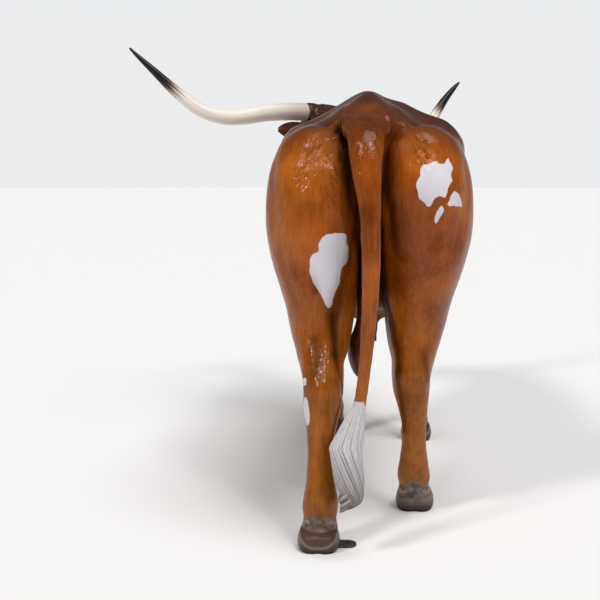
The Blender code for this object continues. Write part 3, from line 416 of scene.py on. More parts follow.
# Broad strokes of the head, in the same form: their points are along the face, across and out of the forehead.
HEAD_STROKES = (
    ("both", 0.024, 0.009, ((0.12, 0.1, 0.022), (0.175, 0.112, 0.012), (0.22, 0.104, 0.002))),
    ("both", 0.024, -0.01, ((0.185, 0.116, -0.022), (0.2, 0.114, -0.026))),
    ("both", 0.028, -0.007, ((0.24, 0.1, -0.03), (0.3, 0.086, -0.052), (0.35, 0.078, -0.07))),
    ("both", 0.045, 0.008, ((0.11, 0.104, -0.15), (0.165, 0.104, -0.175))),
    ("both", 0.015, -0.012, ((0.49, 0.052, -0.03), (0.5, 0.046, -0.05))),
    ("once", 0.03, 0.008, ((0.46, 0.0, -0.172), (0.5, 0.0, -0.16))),
    ("once", 0.035, -0.007, ((0.08, 0.0, 0.048), (0.2, 0.0, 0.04))),
)
# Finer carving on the figure, in the same form: wrinkles beside the tail's root, tendons and hocks.
FINE_STROKES = (
    ("once", 0.01, 0.01, ((-0.088, 0.15, 1.356), (-0.094, 0.134, 1.337), (-0.088, 0.12, 1.315))),
    ("once", 0.007, 0.007, ((-0.076, 0.132, 1.352), (-0.078, 0.115, 1.331), (-0.074, 0.098, 1.305))),
    ("once", 0.006, -0.006, ((-0.082, 0.142, 1.354), (-0.086, 0.125, 1.334), (-0.081, 0.11, 1.31))),
    ("once", 0.01, 0.01, ((0.05, 0.099, 1.357), (0.056, 0.089, 1.335), (0.051, 0.054, 1.313))),
    ("once", 0.007, 0.007, ((0.036, 0.082, 1.356), (0.04, 0.062, 1.335), (0.036, 0.035, 1.31))),
    ("once", 0.006, -0.006, ((0.043, 0.092, 1.357), (0.047, 0.076, 1.335), (0.043, 0.045, 1.311))),
    ("both", 0.016, 0.006, ((0.15, 0.06, 0.7), (0.15, 0.02, 0.62), (0.15, -0.01, 0.56))),
    ("both", 0.014, 0.004, ((0.195, 0.11, 0.64), (0.196, 0.075, 0.56), (0.19, 0.06, 0.5))),
    ("both", 0.03, 0.007, ((0.12, 0.1, 1.18), (0.11, 0.085, 1.08))),
)
# Finer carving on the head: brow, lids, tear bone, jaw, nostril rims and the line of the mouth.
FINE_HEAD_STROKES = (
    ("both", 0.005, 0.005, (
        (0.15, 0.117, -0.02), (0.168, 0.121, -0.001), (0.19, 0.121, 0.003), (0.212, 0.113, -0.01),
    )),
    ("both", 0.005, 0.0035, (
        (0.152, 0.117, -0.026), (0.172, 0.119, -0.043), (0.194, 0.117, -0.044), (0.214, 0.111, -0.02),
    )),
    ("both", 0.0045, -0.0035, (
        (0.142, 0.117, -0.012), (0.16, 0.122, 0.01), (0.19, 0.122, 0.014), (0.222, 0.11, -0.002),
    )),
    ("both", 0.0045, -0.003, ((0.15, 0.117, -0.04), (0.176, 0.118, -0.056), (0.205, 0.113, -0.048))),
    ("both", 0.007, 0.006, (
        (0.478, 0.052, -0.012), (0.5, 0.06, -0.02), (0.51, 0.058, -0.046), (0.5, 0.052, -0.064),
    )),
    ("both", 0.006, -0.012, ((0.492, 0.054, -0.026), (0.5, 0.05, -0.044))),
    ("both", 0.0045, -0.007, (
        (0.54, 0.004, -0.1), (0.512, 0.05, -0.108), (0.45, 0.076, -0.114), (0.395, 0.074, -0.11),
    )),
    ("both", 0.009, 0.004, ((0.53, 0.02, -0.088), (0.5, 0.06, -0.094), (0.44, 0.078, -0.098))),
    ("both", 0.01, 0.005, ((0.528, 0.016, -0.126), (0.5, 0.052, -0.13), (0.44, 0.068, -0.132))),
    ("both", 0.006, -0.003, ((0.395, 0.076, -0.1), (0.385, 0.076, -0.12))),
    ("both", 0.012, 0.004, ((0.25, 0.098, -0.046), (0.3, 0.088, -0.062), (0.345, 0.08, -0.078))),
    ("both", 0.01, -0.004, ((0.06, 0.112, -0.12), (0.08, 0.11, -0.19), (0.13, 0.098, -0.236))),
    ("once", 0.004, -0.003, ((0.54, 0.0, -0.04), (0.536, 0.0, -0.098))),
)
# Curls of the poll: how many, where they start along the face and across it, their length, the most that they
# sway to a side and how far out of the forehead they lie.
FOREHEAD_CURLS = 34
CURLS_ALONG, CURLS_ACROSS = (-0.045, 0.075), 0.075
CURLS_LENGTH, CURLS_SWAY, CURLS_OUT = 0.04, 0.014, 0.046
NECK_FOLDS = 7
# How shut in the skin is: measured out to this distance, at so many points and with so many directions each.
RECESS_REACH, RECESS_SAMPLES, RECESS_RAYS = 0.16, 14000, 24
# Turning by this angle each time spreads the directions evenly.
GOLDEN_ANGLE = 2.399963

# Darkening painted into the coat: amount, radius and path. Most of it is painted shade, in the clefts beside
# the tail, between the thighs, under the belly, down the inner sides of the legs and in the creases of the
# haunches. The rest is the coat's own darker tone down the tail, at the left fetlock and in the brindled
# streaks of the hocks.
SHADES = (
    (0.3, 0.06, ((0.0, 0.06, 1.38), (-0.006, -0.03, 1.25), (-0.004, -0.08, 1.12), (0.004, -0.1, 0.98))),
    (0.8, 0.034, ((-0.088, 0.12, 1.315), (-0.078, 0.125, 1.275), (-0.07, 0.145, 1.18), (-0.06, 0.17, 1.08))),
    (0.5, 0.026, ((0.062, 0.11, 1.315), (0.056, 0.14, 1.27), (0.052, 0.17, 1.18), (0.056, 0.18, 1.08))),
    (0.55, 0.03, ((-0.01, -0.12, 1.08), (-0.01, -0.15, 0.9), (-0.015, -0.165, 0.7))),
    (0.25, 0.06, ((-0.15, -0.01, 0.3), (-0.15, -0.02, 0.14))),
    (0.22, 0.08, ((0.15, 0.09, 1.06), (0.14, 0.1, 0.96))),
    (0.7, 0.16, ((0.0, 0.62, 0.72), (0.0, 0.9, 0.64), (0.0, 1.15, 0.61))),
    (0.85, 0.06, ((0.0, 0.12, 1.15), (0.0, 0.15, 0.96), (0.0, 0.2, 0.8))),
    (0.65, 0.045, ((0.08, 0.12, 1.06), (0.075, 0.14, 0.93), (0.07, 0.18, 0.8))),
    (0.6, 0.034, (
        (-0.052, 0.174, 0.978), (-0.066, 0.145, 0.9), (-0.09, 0.121, 0.816), (-0.112, 0.112, 0.745),
    )),
    (0.85, 0.019, (
        (-0.116, 0.111, 0.728), (-0.114, 0.109, 0.69), (-0.109, 0.101, 0.649), (-0.108, 0.084, 0.614),
    )),
    (0.85, 0.014, (
        (-0.108, 0.084, 0.614), (-0.101, 0.075, 0.577), (-0.09, 0.095, 0.531), (-0.082, 0.1, 0.492),
    )),
    (0.7, 0.011, (
        (-0.088, 0.062, 0.472), (-0.097, 0.046, 0.438), (-0.11, 0.04, 0.388), (-0.117, 0.036, 0.35),
    )),
    (0.5, 0.022, (
        (-0.126, 0.028, 0.336), (-0.122, 0.024, 0.288), (-0.116, 0.014, 0.226), (-0.11, 0.008, 0.18),
    )),
    (0.75, 0.026, ((0.06, 0.31, 0.762), (0.078, 0.295, 0.68), (0.097, 0.258, 0.602), (0.101, 0.253, 0.537))),
    (0.65, 0.018, (
        (0.101, 0.253, 0.537), (0.104, 0.255, 0.487), (0.116, 0.275, 0.433), (0.123, 0.33, 0.315),
    )),
    (0.4, 0.016, ((-0.235, 0.12, 1.067), (-0.2, 0.1, 0.978), (-0.185, 0.09, 0.909), (-0.166, 0.08, 0.815))),
    (0.3, 0.022, ((0.212, 0.11, 0.985), (0.212, 0.11, 0.84))),
    (0.5, 0.018, ((-0.171, 0.09, 0.659), (-0.16, 0.072, 0.624), (-0.166, 0.04, 0.557))),
    (0.45, 0.02, ((0.183, 0.235, 0.588), (0.19, 0.239, 0.547), (0.199, 0.262, 0.503))),
    (0.22, 0.026, ((-0.224, 0.072, 1.075), (-0.222, 0.07, 1.03))),
)
# Where the colour is drawn lighter, to honey: amount, radius and path, on both haunches and the outer shanks.
LIGHTS = (
    (0.25, 0.07, ((-0.19, 0.1, 1.2), (-0.205, 0.085, 1.12))),
    (0.45, 0.06, ((-0.265, 0.14, 1.2), (-0.275, 0.13, 1.06), (-0.24, 0.11, 0.96))),
    (0.35, 0.05, ((-0.13, 0.12, 1.29), (-0.15, 0.09, 1.18))),
    (0.35, 0.045, ((0.14, 0.11, 1.26), (0.175, 0.095, 1.215))),
    (0.35, 0.05, ((0.29, 0.17, 1.23), (0.3, 0.17, 1.06))),
    (0.35, 0.016, ((0.158, 0.3, 0.44), (0.16, 0.35, 0.3), (0.16, 0.37, 0.22))),
    (0.35, 0.02, ((-0.16, 0.02, 0.42), (-0.158, 0.0, 0.25), (-0.155, -0.01, 0.17))),
)
# Where the hair is roughest: amount, radius, lean to the side as it falls, and path.
ROUGH_HAIR = (
    (1.0, 0.034, -0.6, (
        (-0.164, 0.122, 1.278), (-0.182, 0.107, 1.231), (-0.206, 0.093, 1.188), (-0.228, 0.088, 1.145),
    )),
    (1.0, 0.024, 0.55, (
        (-0.101, 0.113, 1.247), (-0.113, 0.095, 1.2), (-0.116, 0.083, 1.148), (-0.098, 0.08, 1.07),
    )),
    (0.6, 0.016, 0.1, ((-0.037, -0.052, 1.264), (-0.031, -0.068, 1.21), (-0.022, -0.079, 1.171))),
    (0.6, 0.016, -0.1, (
        (0.018, 0.0, 1.31), (0.016, -0.05, 1.264), (0.022, -0.057, 1.23), (0.013, -0.075, 1.16),
    )),
    (0.9, 0.026, 0.4, (
        (0.158, 0.15, 1.305), (0.147, 0.117, 1.268), (0.165, 0.108, 1.237), (0.181, 0.1, 1.216),
    )),
    (0.5, 0.02, 0.25, (
        (-0.222, 0.13, 0.711), (-0.201, 0.107, 0.679), (-0.184, 0.087, 0.644), (-0.173, 0.065, 0.606),
    )),
    (0.5, 0.016, 0.1, (
        (-0.146, 0.082, 0.645), (-0.141, 0.06, 0.601), (-0.147, 0.036, 0.557), (-0.155, 0.022, 0.528),
    )),
    (0.5, 0.01, 0.2, ((-0.129, 0.054, 0.586), (-0.116, 0.041, 0.547), (-0.106, 0.032, 0.517))),
    (0.8, 0.014, 0.2, ((0.164, 0.221, 0.52), (0.185, 0.243, 0.496))),
    (0.6, 0.022, -0.1, ((-0.271, 0.12, 1.163), (-0.263, 0.096, 1.086))),
)
# Locks carved along each stretch of such a path, where its radius is this one.
LOCKS_EACH, LOCKS_RADIUS = 34, 0.024
# Curls that break from the switch at its lower left: a path from root to tip and the thickest radius, which
# is tapered by these shares.
CURL_TAPER = (0.6, 1.0, 0.9, 0.55, 0.12)
SWITCH_CURLS = (
    ((
        (-0.048, -0.092, 0.222), (-0.062, -0.1, 0.21), (-0.076, -0.102, 0.2),
        (-0.082, -0.1, 0.192), (-0.078, -0.096, 0.186),
    ), 0.0085),
    ((
        (-0.044, -0.092, 0.202), (-0.058, -0.1, 0.19), (-0.072, -0.103, 0.181),
        (-0.079, -0.101, 0.173), (-0.074, -0.097, 0.168),
    ), 0.008),
    ((
        (-0.05, -0.09, 0.184), (-0.062, -0.097, 0.174), (-0.074, -0.099, 0.166),
        (-0.081, -0.097, 0.161), (-0.079, -0.094, 0.158),
    ), 0.0065),
    ((
        (-0.06, -0.066, 0.225), (-0.074, -0.06, 0.208), (-0.082, -0.058, 0.194),
        (-0.083, -0.06, 0.18), (-0.076, -0.064, 0.172),
    ), 0.0075),
)


def put_in_scene(name, data):
    """A new object in the scene with this mesh, lamp or camera."""
    made = bpy.data.objects.new(name, data)
    bpy.context.scene.collection.objects.link(made)
    return made


def mesh_object(name, points, faces):
    """An object from points and faces, with every face turned outwards."""
    mesh = bpy.data.meshes.new(name)
    mesh.from_pydata([tuple(p) for p in points], [], [tuple(f) for f in faces])
    made = put_in_scene(name, mesh)
    work = bmesh.new()
    work.from_mesh(mesh)
    bmesh.ops.recalc_face_normals(work, faces=work.faces)
    if work.calc_volume(signed=True) < 0:
        bmesh.ops.reverse_faces(work, faces=work.faces)
    work.to_mesh(mesh)
    work.free()
    return made


def flow(rows, count, closed=False):
    """A smooth curve through rows of numbers, read at even steps of the way along it."""
    rows = np.asarray(rows, float)
    if closed:
        rows = np.vstack([rows[-1], rows, rows[:2]])
    steps = np.sqrt(np.linalg.norm(np.diff(rows[:, :3], axis=0), axis=1))
    at = np.concatenate([[0.0], np.cumsum(np.maximum(steps, 1e-6))])
    slopes = np.gradient(rows, at, axis=0)
    first, last = (at[1], at[-2]) if closed else (at[0], at[-1])
    wanted = np.linspace(first, last, count, endpoint=not closed)
    i = np.clip(np.searchsorted(at, wanted, side="right") - 1, 0, len(at) - 2)
    width = (at[i + 1] - at[i])[:, None]
    t = ((wanted - at[i]) / width[:, 0])[:, None]
    return (
        (2 * t**3 - 3 * t**2 + 1) * rows[i]
        + (t**3 - 2 * t**2 + t) * width * slopes[i]
        + (3 * t**2 - 2 * t**3) * rows[i + 1]
        + (t**3 - t**2) * width * slopes[i + 1]
    )


def outline(top, bottom, widths):
    """A symmetric section as (across, up) pairs, from its top, bottom and half-widths down its height."""
    height = top - bottom
    side = [(w, top - height * f) for w, f in zip(widths, WIDTH_HEIGHTS)]
    other = [(-w, v) for w, v in reversed(side)]
    corners = [(0.0, top), *side, (0.0, bottom), *other]
    return flow([(u, v, 0.0) for u, v in corners], OUTLINE_STEPS, closed=True)[:, :2]


def loft(name, rings):
    """A closed tube through rings of points."""
    rings = np.asarray(rings, float)
    count, around = rings.shape[:2]
    faces = []
    for r in range(count - 1):
        for k in range(around):
            n = (k + 1) % around
            faces.append((r * around + k, r * around + n, (r + 1) * around + n, (r + 1) * around + k))
    faces.append(tuple(range(around)))
    faces.append(tuple(range((count - 1) * around, count * around)))
    return mesh_object(name, rings.reshape(-1, 3), faces)


def oval(centre, across, ahead, half_width, front, back, count=40, power=0.92):
    """An oval about a centre, with its own reach ahead and back."""
    ring = []
    for k in range(count):
        angle = 2 * math.pi * k / count
        c, s = math.cos(angle), math.sin(angle)
        u = half_width * math.copysign(abs(c) ** power, c)
        v = (front if s > 0 else back) * math.copysign(abs(s) ** power, s)
        ring.append(centre + across * u + ahead * v)
    return ring


def head_axes():
    """The head's axes: along the face towards the muzzle, to the animal's right, and out of the forehead."""
    level = Vector((-math.sin(HEAD_YAW), math.cos(HEAD_YAW), 0))
    roll = Matrix.Rotation(HEAD_ROLL, 3, level)
    right = roll @ Vector((math.cos(HEAD_YAW), math.sin(HEAD_YAW), 0))
    up = roll @ Vector((0, 0, 1))
    along = level * math.cos(HEAD_PITCH) - up * math.sin(HEAD_PITCH)
    out = level * math.sin(HEAD_PITCH) + up * math.cos(HEAD_PITCH)
    return along, right, out


def head_point(along, right, out):
    """A point of the head, from its distances along the head's axes."""
    a, r, o = head_axes()
    return HEAD_AT + a * along + r * right + o * out


def side_axes(side):
    """The frame that horns and ears are set out in: out from the poll to that side, ahead and up."""
    level = Vector((-math.sin(HEAD_YAW), math.cos(HEAD_YAW), 0))
    right = head_axes()[1]
    return right * side, level, right.cross(level)


def trunk_form():
    rings = []
    for row in flow(TRUNK, 200):
        section = outline(row[1], row[2], row[3:])
        rings.append([(u, row[0], v) for u, v in section])
    return loft("trunk_form", rings)


def head_form():
    rings = []
    for row in flow(HEAD, 90):
        section = outline(row[1], row[2], row[3:])
        rings.append([head_point(row[0], u, v) for u, v in section])
    return loft("head_form", rings)


def neck_form():
    rows = flow(NECK, 60)
    tangents = np.gradient(rows[:, :3], axis=0)
    rings = []
    for row, tangent in zip(rows, tangents):
        ahead = Vector(tangent).normalized()
        right = ahead.cross(Vector((0, 0, 1))).normalized()
        up = right.cross(ahead)
        centre = Vector(row[:3])
        widths = [row[5] * k for k in NECK_WIDTHS]
        section = outline(row[3], -row[4], widths)
        rings.append([centre + right * u + up * v for u, v in section])
    return loft("neck_form", rings)


def leg_form(name):
    """One leg, swung to its place in the stride."""
    end, side = name.split("_")
    top, swing = SWING[name]
    rows = flow(LEG_ROWS[end], 140)
    rings = []
    for z, x, y, half_width, front, back in rows:
        y += swing * max(0.0, (top - z) / top) ** SWING_POWER
        x += np.interp(z, *zip(*OUTWARD[name]))
        centre = Vector((LEG_SIDES[side] * x, y, z))
        power = np.interp(z, *zip(*LEG_SQUARENESS))
        rings.append(oval(centre, Vector((1, 0, 0)), Vector((0, 1, 0)), half_width, front, back, power=power))
    return loft(name + "_form", rings)


def pipe(name, rows, steps, sides):
    """A tube down rows of centre x, y, z, half-width across X and half-depth."""
    rows = flow(rows, steps)
    tangents = np.gradient(rows[:, :3], axis=0)
    rings = []
    for row, tangent in zip(rows, tangents):
        across = Vector((1, 0, 0))
        deep = Vector(tangent).normalized().cross(across).normalized()
        rings.append(oval(Vector(row[:3]), across, deep, row[3], row[4], row[4], count=sides, power=0.95))
    return loft(name, rings)


def tapered(name, path, radii, sides=12):
    """A round tube along a path of points, with a radius at each point."""
    rows = flow([(*p, r) for p, r in zip(path, radii)], 4 * len(path))
    tangents = np.gradient(rows[:, :3], axis=0)
    rings = []
    across = Vector((0, 0, 1))
    for row, tangent in zip(rows, tangents):
        ahead = Vector(tangent).normalized()
        across = (across - ahead * across.dot(ahead)).normalized()
        radius = max(row[3], 0.0002)
        rings.append(oval(Vector(row[:3]), across, ahead.cross(across), radius, radius, radius, sides, 1.0))
    return loft(name, rings)


def joined(name, forms):
    """Several meshes as one object."""
    work = bmesh.new()
    for form in forms:
        work.from_mesh(form.data)
        bpy.data.objects.remove(form)
    mesh = bpy.data.meshes.new(name)
    work.to_mesh(mesh)
    work.free()
    return put_in_scene(name, mesh)


def apply_modifiers(made):
    """Keeps what an object's modifiers make as its own mesh."""
    graph = bpy.context.evaluated_depsgraph_get()
    mesh = bpy.data.meshes.new_from_object(made.evaluated_get(graph))
    made.modifiers.clear()
    made.data = mesh


def points_of(mesh):
    found = np.empty(len(mesh.vertices) * 3)
    mesh.vertices.foreach_get("co", found)
    return found.reshape(-1, 3)


def normals_of(mesh):
    found = np.empty(len(mesh.vertices) * 3)
    mesh.vertices.foreach_get("normal", found)
    return found.reshape(-1, 3)


def move_points(mesh, points):
    mesh.vertices.foreach_set("co", points.ravel())
    mesh.update()


def write_values(mesh, name, values):
    """Stores a number, or a vector, at each vertex for the material to read."""
    kind, field = ("FLOAT", "value") if values.ndim == 1 else ("FLOAT_VECTOR", "vector")
    attribute = mesh.attributes.new(name, kind, "POINT")
    attribute.data.foreach_set(field, values.astype(np.float32).ravel())


def nearness(points, radius, path):
    """How near each point is to a path: 1 on it, fading out over about two radii."""
    path = np.array([tuple(p) for p in path])
    low, high = path.min(axis=0) - 3 * radius, path.max(axis=0) + 3 * radius
    near = np.flatnonzero(((points > low) & (points < high)).all(axis=1))
    distance = np.full(len(near), np.inf)
    for a, b in zip(path[:-1], path[1:]):
        along = np.clip((points[near] - a) @ (b - a) / max((b - a) @ (b - a), 1e-12), 0, 1)
        aside = points[near] - a - along[:, None] * (b - a)
        distance = np.minimum(distance, np.linalg.norm(aside, axis=1))
    found = np.zeros(len(points))
    found[near] = np.exp(-((distance / radius) ** 2))
    return found


def mirrored(strokes, place, flip):
    """Every stroke as radius, height and path, with the ones for both sides made twice."""
    for side, radius, height, path in strokes:
        yield radius, height, [place(*p) for p in path]
        if side == "both":
            yield radius, height, [place(*flip(*p)) for p in path]


def carve(mesh, strokes):
    """Moves the skin along its normals near each stroke's path, fading out with the distance."""
    points = points_of(mesh)
    shift = np.zeros(len(points))
    for radius, height, path in strokes:
        shift += height * nearness(points, radius, path)
    move_points(mesh, points + normals_of(mesh) * shift[:, None])


def figure_strokes(strokes):
    """Strokes of the figure, the ones for both sides mirrored in its spine."""
    return mirrored(strokes, lambda x, y, z: Vector((x, y, z)), lambda x, y, z: (-x, y, z))


def head_strokes(strokes):
    """Strokes of the head, the ones for both sides mirrored in its middle."""
    return mirrored(strokes, head_point, lambda a, r, o: (a, -r, o))


# White markings: which way each faces (degrees round from the rear towards the animal's right), a point at
# its middle, whether its outline is rounded, and the outline about that point as (across, up), in metres.
PATCHES = (
    (0, (-0.125, 0.1, 0.89), True, (
        (0.031, 0.11), (0.051, 0.104), (0.055, 0.08), (0.061, 0.048), (0.057, 0.016), (0.039, -0.005),
        (0.036, -0.024), (0.031, -0.056), (0.015, -0.088), (0.007, -0.12), (-0.001, -0.129), (-0.011, -0.118),
        (-0.017, -0.1), (-0.031, -0.076), (-0.049, -0.044), (-0.058, -0.016), (-0.058, 0.016), (-0.053, 0.04),
        (-0.031, 0.054), (-0.031, 0.075), (-0.021, 0.096), (-0.001, 0.106),
    )),
    (0, (0.1995, 0.13, 1.154), False, (
        (-0.032, 0.057), (-0.013, 0.061), (0.006, 0.069), (0.022, 0.057), (0.033, 0.061), (0.043, 0.078),
        (0.052, 0.065), (0.058, 0.045), (0.054, 0.026), (0.058, 0.007), (0.045, -0.012), (0.041, -0.031),
        (0.035, -0.045), (0.018, -0.041), (0.003, -0.045), (-0.003, -0.058), (-0.009, -0.07),
        (-0.021, -0.074), (-0.028, -0.06), (-0.044, -0.049), (-0.05, -0.028), (-0.057, -0.008),
        (-0.046, 0.019), (-0.042, 0.042),
    )),
    (0, (0.267, 0.2, 1.103), False, (
        (-0.004, 0.031), (0.008, 0.019), (0.022, -0.002), (0.026, -0.026), (0.012, -0.019), (0.004, -0.022),
        (-0.004, -0.017), (-0.012, -0.022), (-0.026, -0.017), (-0.016, 0.004),
    )),
    (0, (0.216, 0.13, 1.0575), True, (
        (0.008, 0.027), (0.015, 0.013), (0.003, -0.011), (-0.01, -0.029), (-0.015, -0.021), (-0.006, 0.011),
    )),
    (-60, (-0.198, 0.03, 0.437), True, (
        (-0.002, 0.044), (0.008, 0.02), (0.011, -0.002), (0.007, -0.03), (-0.008, -0.044), (-0.034, -0.02),
        (-0.038, 0.016), (-0.018, 0.046),
    )),
    (-60, (-0.197, 0.056, 0.531), True, ((0.006, 0.012), (0.01, -0.006), (-0.008, -0.012), (-0.014, 0.006))),
    (-90, (-0.34, 1.12, 0.93), True, (
        (0.02, 0.19), (0.09, 0.15), (0.12, 0.06), (0.21, 0.04), (0.24, -0.05), (0.16, -0.1),
        (0.11, -0.19), (0.02, -0.17), (-0.04, -0.23), (-0.13, -0.2), (-0.15, -0.09), (-0.23, -0.06),
        (-0.22, 0.04), (-0.13, 0.08), (-0.09, 0.16),
    )),
    (-90, (-0.3, 1.58, 1.16), True, (
        (0.01, 0.08), (0.06, 0.04), (0.05, -0.04), (-0.01, -0.08), (-0.06, -0.03), (-0.04, 0.05),
    )),
    (-90, (-0.29, 0.42, 0.96), True, (
        (0.01, 0.05), (0.04, 0.01), (0.02, -0.05), (-0.03, -0.06), (-0.04, 0.01),
    )),
    (90, (0.32, 1.02, 0.86), True, (
        (0.02, 0.12), (0.11, 0.13), (0.17, 0.05), (0.15, -0.06), (0.06, -0.11), (-0.06, -0.15),
        (-0.15, -0.1), (-0.2, -0.01), (-0.13, 0.07), (-0.06, 0.06),
    )),
    (90, (0.28, 1.52, 1.06), True, (
        (0.0, 0.12), (0.07, 0.09), (0.1, 0.0), (0.05, -0.08), (-0.02, -0.06), (-0.08, -0.11),
        (-0.12, -0.02), (-0.07, 0.06),
    )),
    (90, (0.3, 0.66, 1.19), True, (
        (0.01, 0.05), (0.05, 0.03), (0.04, -0.03), (-0.01, -0.05), (-0.05, -0.01),
    )),
)
# The blaze: half-width at distances along the face from the poll.
BLAZE = (
    (-0.02, 0.0), (0.03, 0.03), (0.09, 0.052), (0.16, 0.038),
    (0.26, 0.022), (0.36, 0.026), (0.44, 0.034), (0.47, 0.0),
)
# The white belly: height of its edge at distances from the rear.
BELLY_EDGE = ((1.14, 0.5), (1.22, 0.66), (1.2, 0.72), (1.45, 0.7), (1.6, 0.74), (1.75, 0.6))


def signed_distance(x, y, corners):
    """Distance of flat points from a closed outline, counted as positive inside it."""
    nearest = np.full(len(x), np.inf)
    inside = np.zeros(len(x), bool)
    for (ax, ay), (bx, by) in zip(corners, np.roll(corners, -1, axis=0)):
        dx, dy = bx - ax, by - ay
        t = np.clip(((x - ax) * dx + (y - ay) * dy) / (dx * dx + dy * dy), 0, 1)
        nearest = np.minimum(nearest, np.hypot(x - ax - t * dx, y - ay - t * dy))
        if ay != by:
            inside ^= ((ay > y) != (by > y)) & (x < dx * (y - ay) / dy + ax)
    return np.where(inside, nearest, -nearest)


def waves(points, count, shortest, longest, seed):
    """Smooth unevenness of about unit height: a sum of waves in random directions."""
    rng = np.random.default_rng(seed)
    total = np.zeros(len(points))
    for _ in range(count):
        heading = rng.normal(size=3)
        heading /= np.linalg.norm(heading)
        length = rng.uniform(shortest, longest)
        total += np.sin(points @ heading * (2 * math.pi / length) + rng.uniform(0, 2 * math.pi))
    return total / math.sqrt(count)


def in_head(points):
    """Points as distances along the face, across it and out of the forehead."""
    axes = np.array([tuple(axis) for axis in head_axes()])
    return (points - np.array(HEAD_AT)) @ axes.T


def step(values, low, high):
    """0 below one value, 1 above the other and smooth between them."""
    t = np.clip((values - low) / (high - low), 0, 1)
    return t * t * (3 - 2 * t)


def white_distance(points, normals):
    """How far inside a white marking each point is, in metres; negative where the coat is brown."""
    found = np.full(len(points), -0.1)
    for facing, centre, rounded, corners in PATCHES:
        angle = math.radians(facing)
        across = np.array((math.cos(angle), math.sin(angle), 0.0))
        towards = np.array((math.sin(angle), -math.cos(angle), 0.0))
        corners = np.array(corners)
        if rounded:
            corners = flow([(u, v, 0.0) for u, v in corners], 6 * len(corners), closed=True)[:, :2]
        reach = np.linalg.norm(corners, axis=1).max() + 0.04
        offset = points - np.array(centre)
        near = np.flatnonzero((np.linalg.norm(offset, axis=1) < 1.6 * reach) & (normals @ towards > -0.1))
        distance = signed_distance(offset[near] @ across, offset[near, 2], corners)
        rag = 0.0012 if towards[1] < -0.4 else 0.014
        distance += rag * waves(points[near], 14, 6 * rag + 0.012, 12 * rag + 0.02, 31)
        found[near] = np.maximum(found[near], distance)
    belly = np.interp(points[:, 1], *zip(*BELLY_EDGE)) - points[:, 2] + 0.02 * waves(points, 8, 0.1, 0.25, 3)
    belly = np.where((np.abs(points[:, 1] - 1.12) < 0.62) & (normals[:, 2] < 0.35), belly, -0.1)
    found = np.maximum(found, np.where(leg_share(points) > 0.5, -0.1, belly))
    along, across, out = in_head(points).T
    blaze = np.interp(along, *zip(*BLAZE)) - np.abs(across) + 0.006 * waves(points, 8, 0.03, 0.08, 5)
    on_face = (normals @ np.array(head_axes()[2]) > 0.3) & (np.abs(along - 0.22) < 0.26) & (np.abs(out) < 0.1)
    return np.maximum(found, np.where(on_face, blaze, -0.1))


def leg_section(name, z):
    """A leg's centre x and y, half-width, reach forward and reach back at heights up it."""
    end, side = name.split("_")
    top, swing = SWING[name]
    table = np.array(LEG_ROWS[end])[::-1].T
    x, y, wide, front, back = (np.interp(z, table[0], column) for column in table[1:])
    y = y + swing * np.clip((top - z) / top, 0, 1) ** SWING_POWER
    return LEG_SIDES[side] * (x + np.interp(z, *zip(*OUTWARD[name]))), y, wide, front, back


def heel_spot(leg, across, z):
    """The point of the pastern's rear at this height and this far across from its middle."""
    x, y, wide, _, back = leg_section(leg, z)
    return Vector((x + across, y - back * math.sqrt(max(0.0, 1 - (across / wide) ** 2)), z))


def leg_share(points):
    """1 on the fore and hind legs below the body, and 0 on the belly between them."""
    share = np.zeros(len(points))
    for name in SWING:
        x, y, wide, front, back = leg_section(name, points[:, 2])
        deep = np.where(points[:, 1] > y, front, back) + 0.012
        within = ((points[:, 0] - x) / (wide + 0.012)) ** 2 + ((points[:, 1] - y) / deep) ** 2
        share = np.maximum(share, step(-within, -1.4, -1.0))
    return share


def lie_of_hair(points, normals):
    """Which way the sculpted hair runs across each point, as a direction at right angles to its strands."""
    x, y, z = points.T
    lie = np.zeros_like(points)
    lie[:] = (0.0, -0.75, -0.6)
    rear = step(-y, -0.75, -0.35)[:, None]
    spread = np.sign(x) * np.clip((np.abs(x) - 0.14) / 0.24, -0.25, 0.4) * step(y, -0.02, 0.06)
    down = np.stack([spread, 0.15 * np.ones_like(x), -np.ones_like(x)], axis=1)
    lie = lie * (1 - rear) + down * rear
    low = step(-z, -0.8, -0.6)[:, None]
    lie = lie * (1 - low) + np.array((0.0, 0.1, -1.0)) * low
    along = in_head(points)[:, 0]
    face = (step(along, -0.02, 0.08) * step(y, 1.95, 2.05))[:, None]
    lie = lie * (1 - face) + np.array(head_axes()[0]) * face
    for amount, radius, lean, path in ROUGH_HAIR:
        near = (amount * nearness(points, 2 * radius, path))[:, None]
        lie = lie * (1 - near) + np.array((lean, 0.1, -1.0)) * near
    lie -= normals * (lie * normals).sum(axis=1)[:, None]
    sideways = np.cross(normals, lie)
    return sideways / np.maximum(np.linalg.norm(sideways, axis=1), 1e-6)[:, None]


def add_smoothing(made, passes):
    """Gives an object a modifier with this many passes of even smoothing."""
    smooth = made.modifiers.new("smooth", "SMOOTH")
    smooth.factor = 0.5
    smooth.iterations = passes
    return smooth


def passes_over(width, spacing):
    """How many passes of smoothing blend a crease over about this width, at this spacing of the mesh."""
    return round(4 * (width / spacing) ** 2)


def smoothed_points(made, passes):
    """Where the points would lie with the small relief ironed out."""
    copy = put_in_scene("ironed", made.data)
    add_smoothing(copy, passes)
    graph = bpy.context.evaluated_depsgraph_get()
    found = points_of(copy.evaluated_get(graph).data).copy()
    bpy.data.objects.remove(copy)
    return found


def smooth_near(made, weights, passes):
    """Smooths the surface where the weights say."""
    group = made.vertex_groups.new(name="soften")
    for index in np.flatnonzero(weights > 0.02):
        group.add([int(index)], float(weights[index]), "REPLACE")
    add_smoothing(made, passes).vertex_group = "soften"
    apply_modifiers(made)
    made.vertex_groups.clear()


